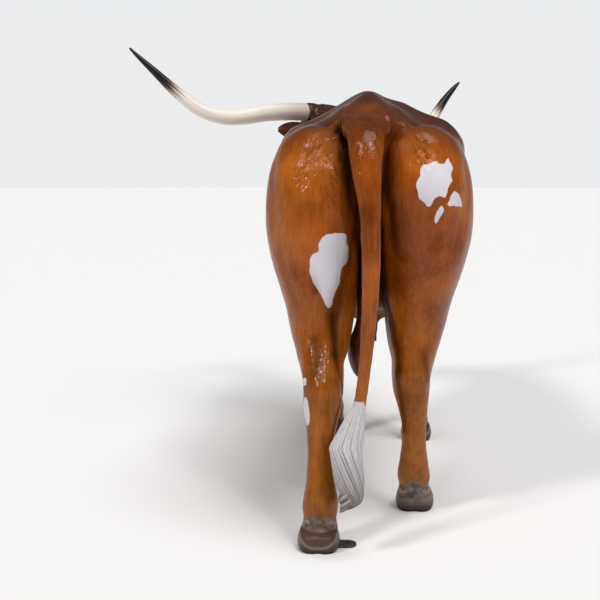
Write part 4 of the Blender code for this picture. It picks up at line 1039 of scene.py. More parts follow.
def refine(made, spheres, longest=0.0):
    """Splits each face within any of these spheres in four, where its edges are longer than this."""
    work = bmesh.new()
    work.from_mesh(made.data)
    points = points_of(made.data)
    inside = np.zeros(len(points), bool)
    for centre, radius in spheres:
        inside |= np.linalg.norm(points - np.array(centre), axis=1) < radius
    near = {v for v, found in zip(work.verts, inside) if found}
    edges = [e for e in work.edges if e.verts[0] in near and e.verts[1] in near and e.calc_length() > longest]
    bmesh.ops.subdivide_edges(work, edges=edges, cuts=1, use_grid_fill=True)
    bmesh.ops.triangulate(work, faces=[f for f in work.faces if len(f.verts) > 4])
    work.to_mesh(made.data)
    work.free()


def ear_form(name, side, steps, sections, thickness):
    """A cupped leaf: the back of each section is an arc, and its front the same arc set in a little."""
    out, ahead, up = side_axes(side)
    turns = np.linspace(-1, 1, steps)
    rim = np.clip(1 - turns**2, 0, 1)
    rings = []
    for u, v, w, half_width, cup in flow(EAR, sections):
        centre = HEAD_AT + out * u + ahead * v + up * w
        back, front = [], []
        for a, r in zip(turns, rim):
            back.append(centre + up * (a * half_width) - ahead * (cup * r + thickness * (0.3 + 0.7 * r)))
            front.append(centre + up * (a * half_width * 0.9) - ahead * (cup * r))
        rings.append(back + front[::-1])
    return loft(name, rings)


def fuse(forms, name, voxel, blend):
    """One skin over overlapping forms, with the creases between them blended over about this width."""
    made = joined(name, forms)
    remesh = made.modifiers.new("one_skin", "REMESH")
    remesh.mode = "VOXEL"
    remesh.voxel_size = voxel
    add_smoothing(made, passes_over(blend, voxel))
    apply_modifiers(made)
    return made


def grow_ears(skin, thickness):
    """Unites the ears with the skin and softens the seam round each root."""
    for side, _, _ in SIDES:
        ear = ear_form("ear_form", side, 17, 30, thickness)
        work = bmesh.new()
        work.from_mesh(ear.data)
        bmesh.ops.triangulate(work, faces=work.faces)
        work.to_mesh(ear.data)
        work.free()
        union = skin.modifiers.new("ear", "BOOLEAN")
        union.operation = "UNION"
        union.solver = "MANIFOLD"
        union.object = ear
        apply_modifiers(skin)
        bpy.data.objects.remove(ear)
        out, ahead, up = side_axes(side)
        root = HEAD_AT + out * EAR_ROOT[0] + ahead * EAR_ROOT[1] + up * EAR_ROOT[2]
        refine(skin, [(root, EAR_ROOT_REFINED)])
        near = nearness(points_of(skin.data), 0.03, [root - up * 0.03, root + up * 0.03])
        smooth_near(skin, near, 12)


def forehead_curls():
    """Short curls strewn over the poll between the horns, each running down towards the eyes."""
    rng = np.random.default_rng(11)
    for _ in range(FOREHEAD_CURLS):
        along = rng.uniform(*CURLS_ALONG)
        across = rng.uniform(-CURLS_ACROSS, CURLS_ACROSS)
        sway = rng.uniform(-CURLS_SWAY, CURLS_SWAY)
        path = []
        for t in (0, 0.5, 1):
            wide = across * (1 + 0.25 * t) + sway * t * t
            path.append(head_point(along + t * CURLS_LENGTH, wide, CURLS_OUT))
        yield rng.uniform(0.005, 0.008), rng.uniform(0.003, 0.006), path


def neck_folds():
    """Loose folds of the dewlap, hanging from the throat to the brisket."""
    for k in range(NECK_FOLDS):
        y = 1.74 + 0.034 * k
        x = -0.01 - 0.09 * (k / (NECK_FOLDS - 1)) ** 1.6
        for side in (-1, 1):
            top = 1.02 + 0.02 * k
            path = []
            for out, ahead, down in ((0.07, 0.012, 0), (0.06, 0, 0.11), (0.03, -0.02, 0.22)):
                path.append(Vector((x + side * out, y + ahead, top - down)))
            yield 0.012, -0.0045, path


def rough_locks(made):
    """Short sculpted locks where the hair is roughest: low ridges and grooves that run with the hair."""
    rng = np.random.default_rng(17)
    tree = BVHTree.FromObject(made, bpy.context.evaluated_depsgraph_get())
    for amount, radius, lean, path in ROUGH_HAIR:
        path = [Vector(p) for p in path]
        for k in range(round(LOCKS_EACH * (len(path) - 1) * radius / LOCKS_RADIUS)):
            leg = rng.integers(len(path) - 1)
            spot = path[leg].lerp(path[leg + 1], rng.uniform()) + Vector(rng.normal(size=3)) * (0.55 * radius)
            where, normal = tree.find_nearest(spot)[:2]
            run = Vector((lean + rng.uniform(-0.3, 0.3), 0.1, -1.0))
            run = (run - normal * run.dot(normal)).normalized()
            half = rng.uniform(0.008, 0.018)
            bow = normal.cross(run) * (half * rng.uniform(-0.3, 0.3))
            height = rng.uniform(0.0007, 0.0014) * amount * (1 if k % 2 else -1)
            yield rng.uniform(0.003, 0.0045), height, [where - run * half, where + bow, where + run * half]


def feet_strokes():
    """The low swellings that the dewclaws stand on, and the hollow that runs down between them."""
    for leg, z in DEWCLAW_HEIGHT.items():
        for side in (-1, 1):
            yield 0.016, 0.005, [heel_spot(leg, side * k * DEWCLAW_APART, z) for k in (0.75, 1.2)]
        yield 0.009, -0.004, [heel_spot(leg, 0.0, z + k) for k in (0.012, -0.01)]


def grey_paint(points):
    """Where grey hoof paint runs over the dewclaws and, on the right hind foot, down the heel."""
    found = np.zeros(len(points))
    for leg, z in DEWCLAW_HEIGHT.items():
        arms = [
            (0.024, [heel_spot(leg, k * DEWCLAW_APART, z - 0.003) for k in (-1.1, 0.0, 1.1)]),
            (0.024, [heel_spot(leg, k * DEWCLAW_APART, z - 0.03) for k in (-0.4, 0.0, 0.4)]),
        ]
        if leg == "hind_right":
            arms.append((0.036, [heel_spot(leg, 0.0, k) for k in (0.096, 0.06, 0.025)]))
        for radius, arm in arms:
            found = np.maximum(found, nearness(points, radius, arm))
        x, y = HOOF_AT[leg]
        near = np.hypot(points[:, 0] - x, points[:, 1] - y - 0.07) < 0.12
        ahead = (points[:, 1] > y + 0.03) & near
        found = np.maximum(found, np.where(ahead, step(0.066 - points[:, 2], -0.004, 0.006), 0))
    return found


def recesses(made, reach, samples, rays):
    """How shut in each point is: the share of directions out of it that meet the figure within this reach."""
    mesh = made.data
    points, normals = points_of(mesh), normals_of(mesh)
    rng = np.random.default_rng(21)
    graph = bpy.context.evaluated_depsgraph_get()
    tree = BVHTree.FromObject(made, graph)
    spots = rng.choice(len(points), samples, replace=False)
    heights = (np.arange(rays) + 0.5) / rays
    turns = np.arange(rays) * GOLDEN_ANGLE
    outward = np.sqrt(heights)
    fan = np.stack([outward * np.cos(turns), outward * np.sin(turns), np.sqrt(1 - heights)], axis=1)
    finder = KDTree(samples)
    shut = np.zeros(samples)
    for i, spot in enumerate(spots):
        point, normal = Vector(points[spot]), Vector(normals[spot])
        finder.insert(point, i)
        turned = np.array(normal.to_track_quat("Z", "Y").to_matrix())
        start = point + normal * 0.002
        for ray in fan @ turned.T:
            if tree.ray_cast(start, ray, reach)[0] is not None:
                shut[i] += 1 / rays
    finder.balance()
    found = np.empty(len(points))
    for i, point in enumerate(points):
        near = finder.find_n(point, 5)
        weights = [1 / (d + 0.004) for _, _, d in near]
        found[i] = sum(shut[j] * w for (_, j, _), w in zip(near, weights)) / sum(weights)
    return found


def paint_values(made):
    """Stores where the airbrush, the painted shade and the markings go, for the paint to read."""
    mesh = made.data
    points, normals = points_of(mesh), normals_of(mesh)
    # Painted shade: the recess darkens the coat where the skin is shut in, over the statue's own dark paint in
    # the deepest clefts, and less on the open right side of the tail.
    open_side = nearness(points, 0.06, [Vector((0.08, 0.13, 1.3)), Vector((0.075, 0.15, 1.08))])
    shut_in = recesses(made, RECESS_REACH, RECESS_SAMPLES, RECESS_RAYS)
    write_values(mesh, "recess", shut_in * (1 - 0.5 * open_side))
    write_values(mesh, "white", white_distance(points, normals))
    shade = np.ones(len(points))
    for amount, radius, path in SHADES:
        shade *= 1 - amount * nearness(points, radius, path)
    write_values(mesh, "shade", 1 - shade)
    light, combed = np.zeros(len(points)), np.zeros(len(points))
    for amount, radius, path in LIGHTS:
        light = np.maximum(light, amount * nearness(points, radius, path))
    for amount, radius, _, path in ROUGH_HAIR:
        combed = np.maximum(combed, amount * nearness(points, 1.6 * radius, path))
    write_values(mesh, "light", light)
    write_values(mesh, "combed", combed)
    write_values(mesh, "grey", grey_paint(points))
    # How hollow the skin is, which the paint reads for painted shade in its hollows.
    write_values(mesh, "hollow", ((smoothed_points(made, 60) - points) * normals).sum(axis=1))
    along, _, out = in_head(points).T
    muzzle = step(along, 0.47, 0.505) * step(-out, -0.03, 0.02) * (points[:, 2] > 0.8)
    write_values(mesh, "muzzle", muzzle)
    dusk = step(points[:, 2], 1.22, 1.38) * (0.6 + 0.4 * normals[:, 2])
    dusk += 0.3 * step(points[:, 2], 1.1, 1.3) * step(points[:, 0], 0.2, 0.3)
    dusk *= 1 - 0.6 * nearness(points, 0.08, [Vector((-0.01, 0.14, 1.385)), Vector((-0.01, 0.06, 1.31))])
    sleeve, ears = np.zeros(len(points)), np.zeros(len(points))
    for side, _, _ in SIDES:
        o, _, u = side_axes(side)
        sleeve = np.maximum(sleeve, nearness(points, 0.06, [HEAD_AT + o * d for d in (0.09, 0.165)]))
        ears = np.maximum(ears, nearness(points, 0.06, [HEAD_AT + o * d + u * -0.095 for d in (0.14, 0.28)]))
    write_values(mesh, "dusk", np.clip(dusk + sleeve + 0.3 * ears, 0, 1))
    write_values(mesh, "strands", lie_of_hair(points, normals))


def to_frame(made):
    """Moves a finished piece from the figure's setting-out to the frame's origin, and shades it smooth."""
    made.data.transform(Matrix.Translation(TO_ORIGIN))
    made.data.shade_smooth()
    return made


def finish_piece(made, finish, slot, *nodes):
    """Gives a piece its material and its body, and hides the solids that it stands for. The slot is not used.
    """
    made.data.materials.clear()
    made.data.materials.append(finish)
    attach(made, BODY)
    if nodes:
        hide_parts(*nodes)
    return made


def make_skin(sizes):
    """Fuses the forms into one skin, carves it from broad to fine and stores what its paint reads."""
    forms = [trunk_form(), neck_form(), head_form(), pipe("tail_form", TAIL, 120, 36)]
    forms += [leg_form(name) for name in SWING]
    for side, _, rows in SIDES:
        rings = horn_rings(rows, side, SLEEVE_START, SLEEVE_END, 12, 36, SLEEVE_THICKNESS)
        forms.append(loft("sleeve_form", rings))
    skin = fuse(forms, "skin", sizes.skin_mesh, sizes.crease_blend)
    for width, radius, path in SOFTENED:
        near = nearness(points_of(skin.data), radius, [Vector(p) for p in path])
        smooth_near(skin, near, passes_over(width, sizes.skin_mesh))
    for strokes in (figure_strokes(STROKES), feet_strokes(), head_strokes(HEAD_STROKES)):
        carve(skin.data, strokes)
    grow_ears(skin, sizes.ear_thickness)
    refine(skin, [(head_point(*HEAD_MIDDLE), HEAD_REFINED)])
    refine(skin, [(head_point(along, across, out), reach) for along, across, out, reach in FACE_REFINED])
    smooth_near(skin, nearness(points_of(skin.data), HEAD_SOFTENED, [head_point(*HEAD_MIDDLE)]), 2)
    rough = []
    for _, radius, _, path in ROUGH_HAIR:
        for a, b in zip(path[:-1], path[1:]):
            rough.append(((Vector(a) + Vector(b)) / 2, 1.5 * radius + (Vector(b) - Vector(a)).length / 2))
    refine(skin, rough, 0.75 * sizes.skin_mesh)
    fine = (figure_strokes(FINE_STROKES), head_strokes(FINE_HEAD_STROKES), forehead_curls(), neck_folds())
    for strokes in fine:
        carve(skin.data, strokes)
    carve(skin.data, rough_locks(skin))
    points = points_of(skin.data)
    uneven = sizes.hand_finish * waves(points, 16, 0.05, 0.14, 7)
    move_points(skin.data, points + normals_of(skin.data) * uneven[:, None])
    paint_values(skin)
    return to_frame(skin)


def horn_rings(rows, side, first, last, count, sides, grow=0.0):
    """Rings of a horn between two distances out from the poll."""
    out, ahead, up = side_axes(side)
    rows = flow(rows, 1200)
    rows = rows[(rows[:, 0] >= first) & (rows[:, 0] <= last)]
    rows = rows[np.linspace(0, len(rows) - 1, count).round().astype(int)]
    centres = [HEAD_AT + out * r[0] + ahead * r[1] + up * r[2] for r in rows]
    rings = []
    for i, row in enumerate(rows):
        tangent = (centres[min(i + 1, count - 1)] - centres[max(i - 1, 0)]).normalized()
        across = tangent.cross(ahead).normalized()
        radius = row[3] + grow
        rings.append(oval(centres[i], across, tangent.cross(across), radius, radius, radius, sides, 1.0))
    return rings


def make_horn(side, word, rows, sizes):
    """A horn with faint flutes along it, growth rings near its root and a blunt tip."""
    count, sides = 170, 48
    plain = horn_rings(rows, side, HORN_ROOT, math.inf, count, sides)
    rings = np.array([[tuple(p) for p in ring] for ring in plain])
    centres = rings.mean(axis=1, keepdims=True)
    reach = np.linspace(0, 1, count)[:, None]
    turn = np.arange(sides)[None, :] * (2 * math.pi / sides)
    flutes = sizes.horn_flutes * np.sin(turn * 9 + 3 * reach) * np.sin(turn * 5 - 2 * reach)
    growth = 2.2 * sizes.horn_flutes * np.sin(reach * 170 + 0.8 * np.sin(turn)) * np.exp(-reach * 14)
    radius = np.linalg.norm(rings - centres, axis=2)
    scale = 1 + (flutes + growth) * np.clip(radius / 0.03, 0, 1) / np.maximum(radius, 1e-4)
    rings = centres + (rings - centres) * scale[:, :, None]
    horn = loft("horn_" + word + "_painted", rings)
    place = np.stack([np.cos(turn) + 0 * reach, np.sin(turn) + 0 * reach, reach + 0 * turn], axis=2)
    write_values(horn.data, "on_horn", place.reshape(-1, 3))
    write_values(horn.data, "reach", np.repeat(reach[:, 0], sides) * HORN_BANDS[word])
    return to_frame(horn)


def make_eye(side, word):
    """A ball with its pole towards the gaze; each point knows how far it is from the pupil."""
    low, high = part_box("eye_" + word)
    centre, radius = (low + high) / 2, (high - low).length / 2 / math.sqrt(3)
    along, right, out = head_axes()
    gaze = (right * side + along * 0.1 + out * 0.1).normalized()
    level = (along - gaze * along.dot(gaze)).normalized()
    upright = gaze.cross(level)
    work = bmesh.new()
    bmesh.ops.create_icosphere(work, subdivisions=5, radius=radius)
    eye = put_in_scene("eye_" + word + "_painted", bpy.data.meshes.new("eye_" + word))
    work.to_mesh(eye.data)
    work.free()
    points = points_of(eye.data)
    forward = points @ np.array(gaze) / radius
    sideways = np.hypot(points @ np.array(level) / 1.5, points @ np.array(upright)) / radius
    write_values(eye.data, "from_pupil", np.where(forward > 0, sideways, 1.0))
    eye.data.transform(Matrix.Translation(centre))
    eye.data.shade_smooth()
    return eye


def make_hoof(leg, sizes):
    """A cloven hoof: the two claws meet at a cleft in front, and the heel behind is one rounded base."""
    x, y = HOOF_AT[leg]
    half = flow([(a, b, 0.0) for a, b in HOOF_PLAN], 60)[:, :2]
    plan = np.vstack([half, half[::-1] * (-1, 1)])
    plan = plan[np.abs(plan[:, 0]) > 1e-6]
    length = max(b for _, b in HOOF_PLAN)
    rings = []
    for i, (heel, toe, across, ahead, back) in enumerate(flow(HOOF_LEVELS, 44)):
        ridge = sizes.hoof_ridges * math.sin(i * 1.9) * min(1.0, i / 6)
        swell = 1 + ridge / 0.06
        ring = []
        for a, b in plan:
            along = y + ahead + b * (length - ahead - back) / length
            ring.append((x + a * across * swell, along, heel + (toe - heel) * (b / length)))
        rings.append(ring)
    hoof = loft("hoof_" + leg + "_painted", rings)
    points = points_of(hoof.data)
    high, dip, half_width = HEEL_ARCH
    arch = high - dip * np.sqrt(np.clip(1 - ((points[:, 0] - x) / half_width) ** 2, 0, 1))
    behind = (points[:, 1] < y + 0.075) & (leg != "hind_right")
    write_values(hoof.data, "heel", np.where(behind, points[:, 2] - arch, -0.05))
    return to_frame(hoof)


def make_dewclaws(leg):
    """Two low blunt claws behind the fetlock, set into the swellings of the skin."""
    z = DEWCLAW_HEIGHT[leg]
    claws = []
    for side in (-1, 1):
        path, radii = [], []
        for share, rise, radius in DEWCLAW:
            path.append(heel_spot(leg, side * share * DEWCLAW_APART, z + rise) + Vector((0, DEWCLAW_SUNK, 0)))
            radii.append(radius)
        claws.append(tapered("claw", path, radii, 24))
    return to_frame(joined("dewclaws_" + leg, claws))


def make_switch(sizes):
    """The moulded tuft of the tail: long combed locks with a groove between each two, drawn to a point."""
    rows = flow(SWITCH, 190)
    around = 240
    rng = np.random.default_rng(5)
    many = sizes.switch_locks
    edges = np.sort((np.arange(many) + rng.uniform(-0.28, 0.28, many)) / many)
    depths = rng.uniform(0.55, 1.0, many)
    phase = rng.uniform(0, 2 * math.pi, many)
    rings, grooves = [], []
    for i, (z, left, right, y, deep) in enumerate(rows):
        down = i / (len(rows) - 1)
        centre = Vector(((left + right) / 2, y, z))
        half_width = (right - left) / 2
        ring = oval(centre, Vector((1, 0, 0)), Vector((0, 1, 0)), half_width, deep, deep, around, 0.95)
        sweep = 0.055 * math.sin(2.6 * down + 0.4) + 0.01 * math.sin(9 * down)
        sweep -= 0.22 * float(step(down, 0.35, 1.0))
        share = (np.arange(around) / around + sweep) % 1
        lock = np.searchsorted(edges, share) % many
        start = edges[lock - 1]
        width = (edges[lock] - start) % 1
        f = ((share - start) % 1) / np.maximum(width, 1e-6)
        f = np.clip(f + 0.1 * np.sin(5 * down + phase[lock]), 0, 1)
        crown = np.sin(math.pi * f) ** 0.55
        strand = 0.5 + 0.5 * np.cos(2 * math.pi * f * 4 + phase[lock] + 4 * down)
        groove = (1 - crown) * depths[lock]
        fade = min(1.0, 0.25 + 3.0 * down) * min(1.0, 8 * (1 - down) + 0.15)
        sink = sizes.groove_depth * fade * (groove + 0.16 * strand * crown)
        points = np.array([tuple(p) for p in ring])
        inward = np.array(centre) - points
        inward /= np.maximum(np.linalg.norm(inward, axis=1, keepdims=True), 1e-6)
        rings.append(points + inward * sink[:, None])
        grooves.append((groove * 0.8 + 0.2 * strand) * (0.35 + 0.65 * down))
    body = loft("switch_body", rings)
    write_values(body.data, "groove", np.array(grooves).ravel())
    write_values(body.data, "down", np.repeat(np.linspace(0, 1, len(rows)), around))
    locks = [body]
    for path, radius in SWITCH_CURLS:
        sides = 20
        lock = tapered("lock", [Vector(p) for p in path], [radius * k for k in CURL_TAPER], sides)
        count = len(lock.data.vertices)
        turn = np.arange(count) % sides * (2 * math.pi / sides)
        write_values(lock.data, "groove", 0.45 + 0.35 * np.sin(turn * 3))
        write_values(lock.data, "down", np.linspace(0.62, 0.92, count))
        locks.append(lock)
    return to_frame(joined("tail_switch_painted", locks))


def make_scrotum():
    """A smooth bag with a shallow seam down its middle and faint creases across the neck."""
    bag = pipe("scrotum_painted", SCROTUM, 110, 72)
    seam = [Vector(p) for p in SCROTUM_SEAM]
    front = [Vector((p.x, SEAM_MIRROR - p.y, p.z)) for p in seam]
    strokes = [(0.01, -0.0035, seam), (0.01, -0.0035, front)]
    for k in range(7):
        z = 0.765 - 0.02 * k
        crease = ((-0.045, 0.29, z), (-0.015, 0.285, z + 0.004), (0.01, 0.29, z - 0.003))
        strokes.append((0.005, -0.0012, [Vector(p) for p in crease]))
    carve(bag.data, strokes)
    return to_frame(bag)


def make_sheath_tuft():
    """The dark tip of the sheath with a few moulded hairs hanging from it."""
    rng = np.random.default_rng(9)
    tip = Vector(SHEATH_TIP)
    path = [tip + Vector((0, ahead, up)) for ahead, up in SHEATH_PATH]
    locks = [tapered("tip", path, SHEATH_RADII, 20)]
    for k in range(9):
        angle = k * 2 * math.pi / 9
        root = tip + Vector((0.009 * math.cos(angle), 0.009 * math.sin(angle), -0.006))
        fall = rng.uniform(0.026, 0.04)
        lean = Vector((rng.uniform(-0.006, 0.006), rng.uniform(-0.006, 0.006), -fall))
        path = [root, root + lean * 0.35, root + lean * 0.75, root + lean]
        locks.append(tapered("hair", path, (0.005, 0.0048, 0.003, 0.0006), 10))
    return to_frame(joined("sheath_tuft", locks))


def make_tab(sizes):
    """A flat steel strip on the floor with a rounded end, a hole for the pin and worn edges."""
    root, tip, middle, width, thick = TAB
    radius = width / 2
    centre = tip - radius
    plan = [(root, middle - radius), (root, middle + radius)]
    for angle in np.linspace(math.pi / 2, -math.pi / 2, 41):
        plan.append((centre + radius * math.cos(angle), middle + radius * math.sin(angle)))
    plate = loft("anchor_tab_plate", [[(x, y, z) for x, y in plan] for z in (0.0, thick)])
    turns = np.linspace(0, 2 * math.pi, 41)[:-1]
    hole = [(centre + TAB_HOLE_RADIUS * math.cos(a), middle + TAB_HOLE_RADIUS * math.sin(a)) for a in turns]
    drill = loft("drill", [[(x, y, z) for x, y in hole] for z in (-0.01, thick + 0.01)])
    cut = plate.modifiers.new("hole", "BOOLEAN")
    cut.operation = "DIFFERENCE"
    cut.object = drill
    apply_modifiers(plate)
    bpy.data.objects.remove(drill)
    bevel = plate.modifiers.new("worn_edge", "BEVEL")
    bevel.width = sizes.tab_edge
    bevel.segments = 3
    bevel.limit_method = "ANGLE"
    bevel.angle_limit = math.radians(50)
    apply_modifiers(plate)
    to_frame(plate)
    plate.data.set_sharp_from_angle(angle=math.radians(40))
    return plate


MM = 0.001
# Kinds of node, and the sockets of a colour Mix node.
NOISE, GABOR, RAMP, MATHS, MIX = (
    "ShaderNodeTexNoise",
    "ShaderNodeTexGabor",
    "ShaderNodeMapRange",
    "ShaderNodeMath",
    "ShaderNodeMix",
)
STORED, STRETCH, PLACE, SPLIT, BUMP = (
    "ShaderNodeAttribute",
    "ShaderNodeMapping",
    "ShaderNodeTexCoord",
    "ShaderNodeSeparateXYZ",
    "ShaderNodeBump",
)
FACTOR, UNDER, OVER, MIXED = 0, 6, 7, 2


def hex_colour(text):
    """A colour from its sRGB hex value, turned to linear light."""
    channels = [int(text[i : i + 2], 16) / 255 for i in (0, 2, 4)]
    return tuple(c / 12.92 if c <= 0.04045 else ((c + 0.055) / 1.055) ** 2.4 for c in channels)


def new_material(name):
    """A material of this name, its node tree and its shader."""
    old = bpy.data.materials.get(name)
    if old:
        bpy.data.materials.remove(old)
    made = bpy.data.materials.new(name)
    made.use_nodes = True
    return made, made.node_tree, made.node_tree.nodes["Principled BSDF"]


def add(tree, kind, inputs=(), output=0, **settings):
    """Adds a node with its settings, gives its inputs values or links, and returns one of its outputs."""
    node = tree.nodes.new(kind)
    for name, value in settings.items():
        setattr(node, name, value)
    for key, value in inputs.items() if isinstance(inputs, dict) else enumerate(inputs):
        socket = node.inputs[key]
        if isinstance(value, bpy.types.NodeSocket):
            tree.links.new(value, socket)
        else:
            socket.default_value = (*value, 1.0) if socket.type == "RGBA" else value
    return node.outputs[output]


def varnish(shader, roughness, specular, coat, coat_roughness):
    """Paint under clear varnish: a soft ground with a sharper reflection over it."""
    shader.inputs["Roughness"].default_value = roughness
    shader.inputs["Specular IOR Level"].default_value = specular
    shader.inputs["Coat Weight"].default_value = coat
    shader.inputs["Coat Roughness"].default_value = coat_roughness
    shader.inputs["Coat IOR"].default_value = 1.5


def airbrushed_gelcoat(colours):
    """Pigmented polyester gelcoat, airbrushed by hand and sealed with gloss varnish over hair strokes.

    The airbrush gives the eye soft clouds of rust and ochre and dragged brush marks about 14 mm wide. Most of
    the deep brown in the hollows, the clefts, between the thighs and under the belly is painted shade, over
    the statue's own darker airbrush there, and the varnish breaks up into sparkling threads where the hair
    strokes are deep. The real strokes are about 3 mm apart; they are drawn 5 to 8 mm apart, because finer ones
    would not show.
    """
    made, tree, shader = new_material("airbrushed_gelcoat_varnished")
    place = add(tree, PLACE, output="Object")
    height = add(tree, SPLIT, (place,), output="Z")
    wander = add(tree, NOISE, {"Vector": place, "Scale": 1 / (40 * MM), "Detail": 2.0}, "Color")
    bent = add(tree, "ShaderNodeVectorMath", (wander, (9 * MM,) * 3, place), operation="MULTIPLY_ADD")
    across = add(tree, STORED, output="Vector", attribute_name="strands")
    long_hair = {"Vector": bent, "Scale": 1 / (21 * MM), "Frequency": 21 / 8.0, "Anisotropy": 1.0, 5: across}
    short_hair = {"Vector": bent, "Scale": 1 / (12 * MM), "Frequency": 12 / 5.0, "Anisotropy": 1.0, 5: across}
    strands = add(tree, GABOR, long_hair, gabor_type="3D")
    wisps = add(tree, GABOR, short_hair, gabor_type="3D")
    clouds = add(tree, NOISE, {"Vector": place, "Scale": 1 / (130 * MM), "Detail": 3.0})
    blotches = add(tree, NOISE, {"Vector": bent, "Scale": 1 / (34 * MM), "Detail": 4.0, "Roughness": 0.62})
    drawn = add(tree, STRETCH, {"Vector": bent, "Scale": (1.0, 1.0, 0.22)})
    brushed = add(tree, NOISE, {"Vector": drawn, "Scale": 1 / (14 * MM), "Detail": 4.0, "Roughness": 0.6})
    tufts = add(tree, MATHS, (strands, wisps), operation="ADD")
    # Painted shade: the coat darkens, and its white greys, where the skin is hollow, over the statue's own
    # darker airbrush there.
    hollow = add(tree, STORED, output="Fac", attribute_name="hollow")
    hollow_shade = add(tree, RAMP, (hollow, 0.3 * MM, 4.0 * MM, 0.0, 0.8))
    recess = add(tree, STORED, output="Fac", attribute_name="recess")
    shade = add(tree, STORED, output="Fac", attribute_name="shade")
    lower = add(tree, RAMP, (height, 0.95, 0.3, 0.0, 1.0))
    ochre = add(tree, MATHS, (lower, add(tree, RAMP, (blotches, 0.3, 0.62, 0.3, 1.0))), operation="MULTIPLY")
    combed = add(tree, STORED, output="Fac", attribute_name="combed")
    depth = add(tree, RAMP, (combed, 0.0, 1.0, 0.55, 1.0))
    grooves = add(tree, MATHS, (depth, add(tree, RAMP, (tufts, 1.0, 0.4, 0.0, 0.6))), operation="MULTIPLY")
    crowns = add(tree, MATHS, (depth, add(tree, RAMP, (tufts, 1.05, 1.6, 0.0, 0.5))), operation="MULTIPLY")
    mix = {FACTOR: hollow_shade, UNDER: colours.white_coat, OVER: colours.white_shade}
    white = add(tree, MIX, mix, MIXED, data_type="RGBA")
    # The white is greyer in the grooves of the hair strokes.
    white_in_grooves = add(tree, RAMP, (tufts, 0.9, 0.4, 0.0, 0.3))
    white = add(tree, MIX, {FACTOR: white_in_grooves, UNDER: white, OVER: colours.white_shade}, MIXED, data_type="RGBA")
    inside = add(tree, STORED, output="Fac", attribute_name="white")
    ragged = add(tree, MATHS, (tufts, 2.6 * MM, inside), operation="MULTIPLY_ADD")
    edge = add(tree, RAMP, (ragged, 1.8 * MM, 3.4 * MM))
    clouded = add(tree, RAMP, (blotches, 0.35, 0.65))
    mix = {FACTOR: clouded, UNDER: colours.heel_grey, OVER: colours.heel_shade}
    grey = add(tree, MIX, mix, MIXED, data_type="RGBA")
    layers = (
        (add(tree, RAMP, (clouds, 0.36, 0.62, 0.0, 1.0)), colours.rust_coat),
        (add(tree, RAMP, (blotches, 0.56, 0.74, 0.0, 0.45)), colours.ochre_coat),
        (ochre, colours.ochre_coat),
        (add(tree, RAMP, (blotches, 0.44, 0.28, 0.0, 0.35)), colours.rust_coat),
        (add(tree, STORED, output="Fac", attribute_name="light"), colours.honey_coat),
        (add(tree, RAMP, (brushed, 0.5, 0.74, 0.0, 0.34)), colours.groove_brown),
        (add(tree, RAMP, (brushed, 0.46, 0.28, 0.0, 0.26)), colours.honey_coat),
        (add(tree, STORED, output="Fac", attribute_name="dusk"), colours.dusk_coat),
        (grooves, colours.groove_brown),
        (crowns, colours.strand_gold),
        (edge, white),
        # Painted shade from the shade strokes, with some of the coat's own darker tone.
        (shade, colours.groove_brown),
        # Painted shade in the hollows of the skin.
        (hollow_shade, colours.groove_brown),
        # Near-black painted shade where the skin is shut in, partly the statue's own dark paint there.
        (add(tree, RAMP, (recess, 0.36, 0.64, 0.0, 0.85)), colours.recess_shade_black),
        (add(tree, STORED, output="Fac", attribute_name="muzzle"), colours.muzzle),
        (add(tree, RAMP, (add(tree, STORED, output="Fac", attribute_name="grey"), 0.25, 0.75)), grey),
    )
    coat = colours.orange_coat
    for mask, paint in layers:
        coat = add(tree, MIX, {FACTOR: mask, UNDER: coat, OVER: paint}, MIXED, data_type="RGBA")
    tree.links.new(coat, shader.inputs["Base Color"])
    patchy = add(tree, NOISE, {"Vector": place, "Scale": 1 / (150 * MM), "Detail": 2.0})
    deep = add(tree, RAMP, (patchy, 0.4, 0.62, 0.15, 0.5))
    deep = add(tree, MATHS, (combed, 0.8, deep), operation="MULTIPLY_ADD")
    relief = add(tree, MATHS, (tufts, deep), operation="MULTIPLY")
    pits = add(tree, NOISE, {"Vector": place, "Scale": 1 / (4 * MM), "Detail": 2.0})
    relief = add(tree, MATHS, (pits, 0.25, relief), operation="MULTIPLY_ADD")
    normal = add(tree, BUMP, {"Height": relief, "Strength": 1.0, "Distance": 1.0 * MM})
    tree.links.new(normal, shader.inputs["Normal"])
    tree.links.new(normal, shader.inputs["Coat Normal"])
    varnish(shader, 0.55, 0.03, 0.4, 0.13)
    dull = add(tree, MATHS, (recess, shade), operation="MAXIMUM")
    tree.links.new(add(tree, RAMP, (dull, 0.2, 0.5, 0.42, 0.0)), shader.inputs["Coat Weight"])
    return made


